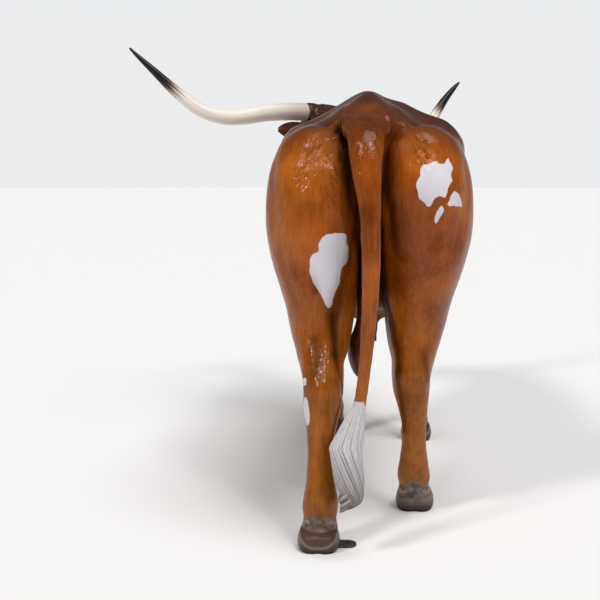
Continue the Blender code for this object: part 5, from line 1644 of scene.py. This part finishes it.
def cast_horn_resin(colours):
    """Cast polyester resin, painted cream and polished: waxy, with brown streaks up to a black tip."""
    made, tree, shader = new_material("cast_resin_horn_polished")
    reach = add(tree, STORED, output="Fac", attribute_name="reach")
    on_horn = add(tree, STORED, output="Vector", attribute_name="on_horn")
    along = add(tree, STRETCH, {"Vector": on_horn, "Scale": (3.2, 3.2, 2.2)})
    grain = add(tree, NOISE, {"Vector": along, "Scale": 1.0, "Detail": 3.0, "Roughness": 0.6})
    streak = add(tree, MATHS, (grain, 0.16, reach), operation="MULTIPLY_ADD")
    layers = (
        (add(tree, RAMP, (reach, 0.25, 0.0, 0.0, 0.9)), colours.horn_root),
        (add(tree, RAMP, (grain, 0.5, 0.72, 0.0, 0.35)), colours.horn_root),
        (add(tree, RAMP, (streak, 0.76, 0.83)), colours.horn_brown),
        (add(tree, RAMP, (streak, 0.81, 0.86)), colours.horn_black),
        (add(tree, RAMP, (reach, 0.045, 0.036)), colours.horn_brown),
    )
    horn = colours.horn_cream
    for mask, paint in layers:
        horn = add(tree, MIX, {FACTOR: mask, UNDER: horn, OVER: paint}, MIXED, data_type="RGBA")
    tree.links.new(horn, shader.inputs["Base Color"])
    normal = add(tree, BUMP, {"Height": grain, "Strength": 0.25, "Distance": 0.5 * MM})
    tree.links.new(normal, shader.inputs["Normal"])
    varnish(shader, 0.45, 0.1, 0.3, 0.1)
    return made


def eye_enamel(colours):
    """Gloss enamel over a cast ball: near black, with a brown ring that shows only close to."""
    made, tree, shader = new_material("gloss_enamel_eye")
    away = add(tree, STORED, output="Fac", attribute_name="from_pupil")
    layers = (
        (add(tree, RAMP, (away, 0.26, 0.34)), colours.eye_brown),
        (add(tree, RAMP, (away, 0.52, 0.6)), colours.eye_black),
        (add(tree, RAMP, (away, 0.74, 0.86)), colours.eye_corner),
    )
    eye = colours.eye_black
    for mask, paint in layers:
        eye = add(tree, MIX, {FACTOR: mask, UNDER: eye, OVER: paint}, MIXED, data_type="RGBA")
    tree.links.new(eye, shader.inputs["Base Color"])
    varnish(shader, 0.2, 0.5, 1.0, 0.03)
    return made


def hoof_paint(colours):
    """Satin grey-brown paint over cast claws: pale at the coronet, near black where they meet the ground."""
    made, tree, shader = new_material("satin_paint_hoof")
    place = add(tree, PLACE, output="Object")
    height = add(tree, SPLIT, (place,), output="Z")
    cloud = add(tree, NOISE, {"Vector": place, "Scale": 1 / (26 * MM), "Detail": 3.0, "Roughness": 0.6})
    level = add(tree, MATHS, (cloud, 18 * MM, height), operation="MULTIPLY_ADD")
    above = add(tree, STORED, output="Fac", attribute_name="heel")
    heel = add(tree, MATHS, (cloud, 5 * MM, above), operation="MULTIPLY_ADD")
    layers = (
        (add(tree, RAMP, (level, 29 * MM, 53 * MM)), colours.hoof_grey),
        (add(tree, RAMP, (level, 24 * MM, 14 * MM)), colours.hoof_sole),
        # A pale grey line along the top of the heel: a painted highlight on the coronet.
        (add(tree, RAMP, (heel, -6 * MM, -1 * MM, 0.0, 0.7)), colours.heel_grey),
        (add(tree, RAMP, (heel, 0.0, 8 * MM, 0.0, 0.82)), colours.dusk_coat),
    )
    wall = colours.hoof_dark
    for mask, paint in layers:
        wall = add(tree, MIX, {FACTOR: mask, UNDER: wall, OVER: paint}, MIXED, data_type="RGBA")
    tree.links.new(wall, shader.inputs["Base Color"])
    flat = add(tree, STRETCH, {"Vector": place, "Scale": (0.15, 0.15, 1.0)})
    rings = add(tree, NOISE, {"Vector": flat, "Scale": 1 / (4 * MM), "Detail": 2.0})
    grit = add(tree, NOISE, {"Vector": place, "Scale": 1 / (2 * MM), "Detail": 2.0})
    relief = add(tree, MATHS, (grit, 0.4, rings), operation="MULTIPLY_ADD")
    normal = add(tree, BUMP, {"Height": relief, "Strength": 0.5, "Distance": 0.6 * MM})
    tree.links.new(normal, shader.inputs["Normal"])
    varnish(shader, 0.55, 0.15, 0.15, 0.22)
    return made


def dewclaw_paint(colours):
    """The same satin paint in the pale grey of the coronet, clouded with brown."""
    made, tree, shader = new_material("satin_paint_dewclaw")
    place = add(tree, PLACE, output="Object")
    cloud = add(tree, NOISE, {"Vector": place, "Scale": 1 / (14 * MM), "Detail": 3.0, "Roughness": 0.6})
    mix = {FACTOR: add(tree, RAMP, (cloud, 0.4, 0.7)), UNDER: colours.heel_grey, OVER: colours.heel_shade}
    claw = add(tree, MIX, mix, MIXED, data_type="RGBA")
    tree.links.new(claw, shader.inputs["Base Color"])
    normal = add(tree, BUMP, {"Height": cloud, "Strength": 0.3, "Distance": 0.8 * MM})
    tree.links.new(normal, shader.inputs["Normal"])
    varnish(shader, 0.5, 0.4, 0.4, 0.2)
    return made


def switch_paint(colours):
    """White gelcoat over moulded hair: greyer in the grooves and towards the bottom, and brown at the tip."""
    made, tree, shader = new_material("white_gelcoat_combed")
    place = add(tree, PLACE, output="Object")
    groove = add(tree, STORED, output="Fac", attribute_name="groove")
    down = add(tree, STORED, output="Fac", attribute_name="down")
    drawn = add(tree, STRETCH, {"Vector": place, "Scale": (1.0, 1.0, 0.06)})
    fine = add(tree, NOISE, {"Vector": drawn, "Scale": 1 / (2.6 * MM), "Detail": 2.0})
    at_tip = add(tree, RAMP, (down, 0.86, 0.97))
    tip = add(tree, MATHS, (at_tip, add(tree, RAMP, (groove, 0.0, 0.6, 0.55, 1.0))), operation="MULTIPLY")
    root = add(tree, RAMP, (add(tree, MATHS, (fine, 0.03, down), operation="MULTIPLY_ADD"), 0.035, 0.018))
    layers = (
        (add(tree, RAMP, (groove, 0.1, 0.75)), colours.switch_groove),
        (add(tree, RAMP, (fine, 0.45, 0.75, 0.0, 0.35)), colours.switch_groove),
        (add(tree, RAMP, (down, 0.45, 0.95, 0.0, 0.9)), colours.switch_lower_grey),
        (tip, colours.switch_tip),
        (root, colours.rust_coat),
    )
    hair = colours.switch_white
    for mask, paint in layers:
        hair = add(tree, MIX, {FACTOR: mask, UNDER: hair, OVER: paint}, MIXED, data_type="RGBA")
    tree.links.new(hair, shader.inputs["Base Color"])
    normal = add(tree, BUMP, {"Height": fine, "Strength": 0.35, "Distance": 0.5 * MM})
    tree.links.new(normal, shader.inputs["Normal"])
    varnish(shader, 0.6, 0.1, 0.15, 0.25)
    return made


def bag_paint(colours):
    """Dark red-brown airbrush under gloss varnish, smooth enough to mirror the lamps."""
    made, tree, shader = new_material("airbrushed_gelcoat_dark")
    place = add(tree, PLACE, output="Object")
    cloud = add(tree, NOISE, {"Vector": place, "Scale": 1 / (40 * MM), "Detail": 3.0, "Roughness": 0.55})
    mix = {FACTOR: add(tree, RAMP, (cloud, 0.35, 0.65)), UNDER: colours.bag_red, OVER: colours.groove_brown}
    skin = add(tree, MIX, mix, MIXED, data_type="RGBA")
    tree.links.new(skin, shader.inputs["Base Color"])
    pits = add(tree, NOISE, {"Vector": place, "Scale": 1 / (4 * MM), "Detail": 2.0})
    normal = add(tree, BUMP, {"Height": pits, "Strength": 0.2, "Distance": 0.5 * MM})
    tree.links.new(normal, shader.inputs["Normal"])
    varnish(shader, 0.5, 0.1, 0.4, 0.12)
    return made


def painted_steel(colours):
    """Mild steel flat bar under worn grey-black paint: rubbed bright at its edges and dusty on top."""
    made, tree, shader = new_material("mild_steel_bar_painted")
    place = add(tree, PLACE, output="Object")
    wear = add(tree, NOISE, {"Vector": place, "Scale": 1 / (9 * MM), "Detail": 4.0, "Roughness": 0.65})
    sharp = add(tree, "ShaderNodeNewGeometry", output="Pointiness")
    on_edge = add(tree, RAMP, (sharp, 0.52, 0.6))
    rubbed = add(tree, MATHS, (on_edge, add(tree, RAMP, (wear, 0.4, 0.6))), operation="MULTIPLY")
    layers = (
        (add(tree, RAMP, (wear, 0.35, 0.7)), colours.steel_grey),
        (rubbed, colours.steel_bare),
    )
    steel = colours.steel_dark
    for mask, paint in layers:
        steel = add(tree, MIX, {FACTOR: mask, UNDER: steel, OVER: paint}, MIXED, data_type="RGBA")
    tree.links.new(steel, shader.inputs["Base Color"])
    shader.inputs["Metallic"].default_value = 0.6
    shader.inputs["Roughness"].default_value = 0.5
    normal = add(tree, BUMP, {"Height": wear, "Strength": 0.4, "Distance": 0.3 * MM})
    tree.links.new(normal, shader.inputs["Normal"])
    return made


def studio_floor(colours):
    """Matt seamless paper: plain, pale and without a shine."""
    made, _, shader = new_material("seamless_paper_matt")
    shader.inputs["Base Color"].default_value = (*colours.floor, 1.0)
    shader.inputs["Roughness"].default_value = 0.95
    shader.inputs["Specular IOR Level"].default_value = 0.1
    return made


def size(name, default, words, smallest=0.0):
    return bpy.props.FloatProperty(
        name=name, description=words, default=default, min=smallest, unit="LENGTH", precision=4
    )


def colour(name, value, words):
    return bpy.props.FloatVectorProperty(
        name=name, description=words, default=hex_colour(value), size=3, min=0.0, max=1.0, subtype="COLOR"
    )


class StatueSizes(bpy.types.PropertyGroup):
    skin_mesh: size("Skin mesh", 0.006, "Spacing of the skin's mesh", 0.003)
    crease_blend: size("Crease blend", 0.0125, "How wide the creases between the fused forms are blended")
    ear_thickness: size("Ear thickness", 0.009, "Thickness of the ear at the middle of its back", 0.002)
    hand_finish: size("Hand finish", 0.0004, "Depth of the slow unevenness that hand sanding leaves")
    horn_flutes: size("Horn flutes", 0.0005, "Depth of the faint flutes along each horn")
    hoof_ridges: size("Hoof ridges", 0.0005, "Depth of the growth rings round each hoof")
    groove_depth: size("Switch grooves", 0.0065, "Depth of the grooves between the switch's locks")
    switch_locks: bpy.props.IntProperty(
        name="Switch locks", description="Locks round the tail's switch", default=25, min=6, max=60
    )
    tab_edge: size("Tab edge", 0.0012, "Width of the worn edge round the steel tab", 0.0002)


class StatueColours(bpy.types.PropertyGroup):
    orange_coat: colour("Orange coat", "A5500E", "Lit middle tone of the airbrushed coat")
    rust_coat: colour("Rust coat", "803809", "Deeper clouds in the coat")
    # Honey is where the colour is drawn lighter, and the light brush marks.
    honey_coat: colour("Honey coat", "C67624", "Where the airbrush was lightened")
    ochre_coat: colour("Ochre coat", "935913", "Lower legs and shanks")
    dusk_coat: colour("Dusk coat", "40251A", "Rump, spine and horn sleeves")
    strand_gold: colour("Strand gold", "BE7222", "Crowns of the sculpted hair")
    # Groove brown is the painted shade in the hollows, the clefts and under the belly, and also the dark brush
    # marks and hair grooves.
    groove_brown: colour("Groove brown", "2A1004", "Airbrushed hollows")
    # Near-black painted shade in the deepest recesses, partly the statue's own dark paint there.
    recess_shade_black: colour("Recess black", "140702", "Paint in the deepest recesses")
    white_coat: colour("White markings", "D6D1D9", "White patches of the coat")
    white_shade: colour("White shade", "9D969D", "Hollows of the white patches")
    muzzle: colour("Muzzle", "4A342C", "Bare skin of the nose and lips")
    heel_grey: colour("Heel grey", "85786F", "Grey paint over the dewclaws and heels")
    heel_shade: colour("Heel shade", "4B3D33", "Darker clouds in the heel's grey")
    horn_cream: colour("Horn cream", "EEE6DA", "Polished length of the horns")
    horn_root: colour("Horn root", "B9AE9C", "Yellower tone near the roots")
    horn_brown: colour("Horn brown", "5E3D22", "Streaks below the tip")
    horn_black: colour("Horn black", "161212", "Tips of the horns")
    eye_black: colour("Eye black", "0C0807", "Pupil and rim")
    eye_brown: colour("Eye brown", "3A1F10", "Ring round the pupil")
    eye_corner: colour("Eye corner", "B8A79C", "White of the eye, at its corners")
    hoof_grey: colour("Hoof grey", "746A61", "Coronet of the hoof")
    hoof_dark: colour("Hoof dark", "45372C", "Wall of the hoof")
    hoof_sole: colour("Hoof sole", "1C1815", "Edge that meets the ground")
    switch_white: colour("Switch white", "CBC7C9", "Crowns of the switch's locks")
    switch_groove: colour("Switch groove", "6E6567", "Grooves between the locks")
    # Grey that darkens the lower part of the switch.
    switch_lower_grey: colour("Switch wash", "746967", "Grey wash down the switch")
    switch_tip: colour("Switch tip", "433326", "Brown curls at the tip")
    bag_red: colour("Dark red skin", "5E2612", "Scrotum and sheath tip")
    steel_dark: colour("Steel dark", "302C28", "Paint on the anchor tab")
    steel_grey: colour("Steel grey", "4C4741", "Dusty paint on the anchor tab")
    steel_bare: colour("Steel bare", "85817C", "Rubbed edges of the anchor tab")
    floor: colour("Floor", "F1F1F1", "Studio floor")


def settings(context):
    return context.scene.statue_sizes, context.scene.statue_colours


class STATUE_OT_skin(bpy.types.Operator):
    """Make the painted skin of trunk, neck, head, ears, legs and tail"""

    bl_idname = "statue.skin"
    bl_label = "Skin"

    def execute(self, context):
        sizes, colours = settings(context)
        skin = make_skin(sizes)
        flesh = ("torso", "neck", "head", "tail", "ear_left", "ear_right", *("leg_" + leg for leg in SWING))
        finish_piece(skin, airbrushed_gelcoat(colours), "painted_coat", *flesh)
        return {"FINISHED"}


class STATUE_OT_horns(bpy.types.Operator):
    """Make both horns"""

    bl_idname = "statue.horns"
    bl_label = "Horns"

    def execute(self, context):
        sizes, colours = settings(context)
        finish = cast_horn_resin(colours)
        for side, word, rows in SIDES:
            finish_piece(make_horn(side, word, rows, sizes), finish, "painted_horn", "horn_" + word)
        return {"FINISHED"}


class STATUE_OT_eyes(bpy.types.Operator):
    """Make both eyes"""

    bl_idname = "statue.eyes"
    bl_label = "Eyes"

    def execute(self, context):
        finish = eye_enamel(settings(context)[1])
        for side, word, _ in SIDES:
            finish_piece(make_eye(side, word), finish, "painted_eye", "eye_" + word)
        return {"FINISHED"}


class STATUE_OT_hooves(bpy.types.Operator):
    """Make the four hooves"""

    bl_idname = "statue.hooves"
    bl_label = "Hooves"

    def execute(self, context):
        sizes, colours = settings(context)
        finish = hoof_paint(colours)
        for leg in HOOF_AT:
            finish_piece(make_hoof(leg, sizes), finish, "painted_hoof", "hoof_" + leg)
        return {"FINISHED"}


class STATUE_OT_dewclaws(bpy.types.Operator):
    """Make the pair of dewclaws on each leg"""

    bl_idname = "statue.dewclaws"
    bl_label = "Dewclaws"

    def execute(self, context):
        finish = dewclaw_paint(settings(context)[1])
        for leg in HOOF_AT:
            finish_piece(make_dewclaws(leg), finish, "painted_hoof")
        return {"FINISHED"}


class STATUE_OT_switch(bpy.types.Operator):
    """Make the white switch of the tail"""

    bl_idname = "statue.switch"
    bl_label = "Tail switch"

    def execute(self, context):
        sizes, colours = settings(context)
        finish_piece(make_switch(sizes), switch_paint(colours), "painted_switch", "tail_switch")
        return {"FINISHED"}


class STATUE_OT_underparts(bpy.types.Operator):
    """Make the scrotum and the tip of the sheath"""

    bl_idname = "statue.underparts"
    bl_label = "Scrotum and sheath tip"

    def execute(self, context):
        finish = bag_paint(settings(context)[1])
        finish_piece(make_scrotum(), finish, "painted_skin", "scrotum")
        finish_piece(make_sheath_tuft(), finish, "painted_skin")
        return {"FINISHED"}


class STATUE_OT_anchor_tab(bpy.types.Operator):
    """Make the steel tab that pins the left hind hoof down"""

    bl_idname = "statue.anchor_tab"
    bl_label = "Anchor tab"

    def execute(self, context):
        sizes, colours = settings(context)
        finish_piece(make_tab(sizes), painted_steel(colours), "anchor_steel", "anchor_tab")
        return {"FINISHED"}


# The photograph's lens: its frame's side and focal length in pixels, and the sensor's width in millimetres.
PHOTO_SIDE, FOCAL_PIXELS, SENSOR = 600, 1117, 36.0
# How many pixels the spine is from the frame's middle, where the camera stood and how far it was tilted down.
SPINE_OFF_CENTRE = 69
CAMERA_AT = Vector((0.0, -3.4, 1.206)) + TO_ORIGIN
CAMERA_DOWN = math.radians(6.83)
FLOOR_RADIUS = 60.0
# Far lamps: name, the direction each stands in, strength in watts per square metre, width in degrees, tint.
LAMPS = (
    ("key_left", (-0.52, -0.62, 0.75), 1.05, 9, (1.0, 0.98, 0.95)),
    ("key_right", (0.36, -0.68, 0.8), 0.48, 9, (1.0, 0.98, 0.96)),
    ("overhead_bank", (0.25, -0.35, 1.0), 2.05, 40, (1.0, 1.0, 1.0)),
)
# The air's light: pale below one height of a direction and dark above the other, and this share of that light
# in directions turned away from the backdrop, which starts between these two shares of a direction ahead.
PALE_BELOW, DARK_ABOVE, PALE, DARK = 0.145, 0.26, 0.86, 0.22
BACKDROP_EDGES, ROOM_SHARE = (0.8, 0.94), 0.5
AIR_TINT = (0.97, 0.98, 1.0, 1.0)


def studio_ground():
    """A flat round floor that reaches far past the figure."""
    work = bmesh.new()
    bmesh.ops.create_circle(work, cap_ends=True, segments=96, radius=FLOOR_RADIUS)
    ground = put_in_scene("studio_floor", bpy.data.meshes.new("studio_floor"))
    work.to_mesh(ground.data)
    work.free()
    return ground


def far_lamp(name, towards, strength, width, tint):
    """A soft lamp so far off that it lights the whole floor evenly; its width is an angle in degrees."""
    lamp = bpy.data.lights.new(name, "SUN")
    lamp.energy = strength
    lamp.angle = math.radians(width)
    lamp.color = tint
    put_in_scene(name, lamp).rotation_euler = Vector(towards).to_track_quat("Z", "Y").to_euler()


class STATUE_OT_stage(bpy.types.Operator):
    """Make the floor, the lamps and the camera at the photograph's view"""

    bl_idname = "statue.stage"
    bl_label = "Stage"

    def execute(self, context):
        colours = settings(context)[1]
        ground = studio_ground()
        ground.data.materials.append(studio_floor(colours))
        for lamp in LAMPS:
            far_lamp(*lamp)
        world = bpy.data.worlds.new("studio_air")
        context.scene.world = world
        world.use_nodes = True
        tree = world.node_tree
        heading = add(tree, PLACE, output="Generated")
        rise = add(tree, SPLIT, (heading,), output="Z")
        ahead = add(tree, SPLIT, (heading,), output="Y")
        glow = add(tree, RAMP, (rise, PALE_BELOW, DARK_ABOVE, PALE, DARK))
        dim_room = add(tree, RAMP, (ahead, *BACKDROP_EDGES, ROOM_SHARE, 1.0))
        glow = add(tree, MATHS, (glow, dim_room), operation="MULTIPLY")
        air = tree.nodes["Background"]
        air.inputs["Color"].default_value = AIR_TINT
        tree.links.new(glow, air.inputs["Strength"])
        lens = bpy.data.cameras.new("photo_camera")
        lens.sensor_width = SENSOR
        lens.lens = SENSOR * FOCAL_PIXELS / PHOTO_SIDE
        lens.clip_end = 100
        camera = put_in_scene("photo_camera", lens)
        camera.location = CAMERA_AT
        camera.rotation_euler = (math.pi / 2 - CAMERA_DOWN, 0, math.atan(SPINE_OFF_CENTRE / FOCAL_PIXELS))
        context.scene.camera = camera
        context.scene.view_settings.view_transform = "Standard"
        return {"FINISHED"}


OPERATORS = (
    STATUE_OT_skin,
    STATUE_OT_horns,
    STATUE_OT_eyes,
    STATUE_OT_hooves,
    STATUE_OT_dewclaws,
    STATUE_OT_switch,
    STATUE_OT_underparts,
    STATUE_OT_anchor_tab,
    STATUE_OT_stage,
)


class STATUE_PT_panel(bpy.types.Panel):
    """The statue's pieces, sizes and colours"""

    bl_idname = "STATUE_PT_panel"
    bl_label = "Longhorn bull statue"
    bl_space_type = "VIEW_3D"
    bl_region_type = "UI"
    bl_category = "Statue"

    def draw(self, context):
        for operator in OPERATORS:
            self.layout.operator(operator.bl_idname)
        for group in settings(context):
            box = self.layout.box()
            for name in group.__annotations__:
                box.prop(group, name)


CLASSES = (StatueSizes, StatueColours, *OPERATORS, STATUE_PT_panel)


def register():
    for made in CLASSES:
        bpy.utils.register_class(made)
    bpy.types.Scene.statue_sizes = bpy.props.PointerProperty(type=StatueSizes)
    bpy.types.Scene.statue_colours = bpy.props.PointerProperty(type=StatueColours)


def unregister():
    del bpy.types.Scene.statue_colours
    del bpy.types.Scene.statue_sizes
    for made in reversed(CLASSES):
        bpy.utils.unregister_class(made)


def main():
    register()
    for operator in OPERATORS:
        family, name = operator.bl_idname.split(".")
        getattr(getattr(bpy.ops, family), name)()


if __name__ == "__main__":
    main()
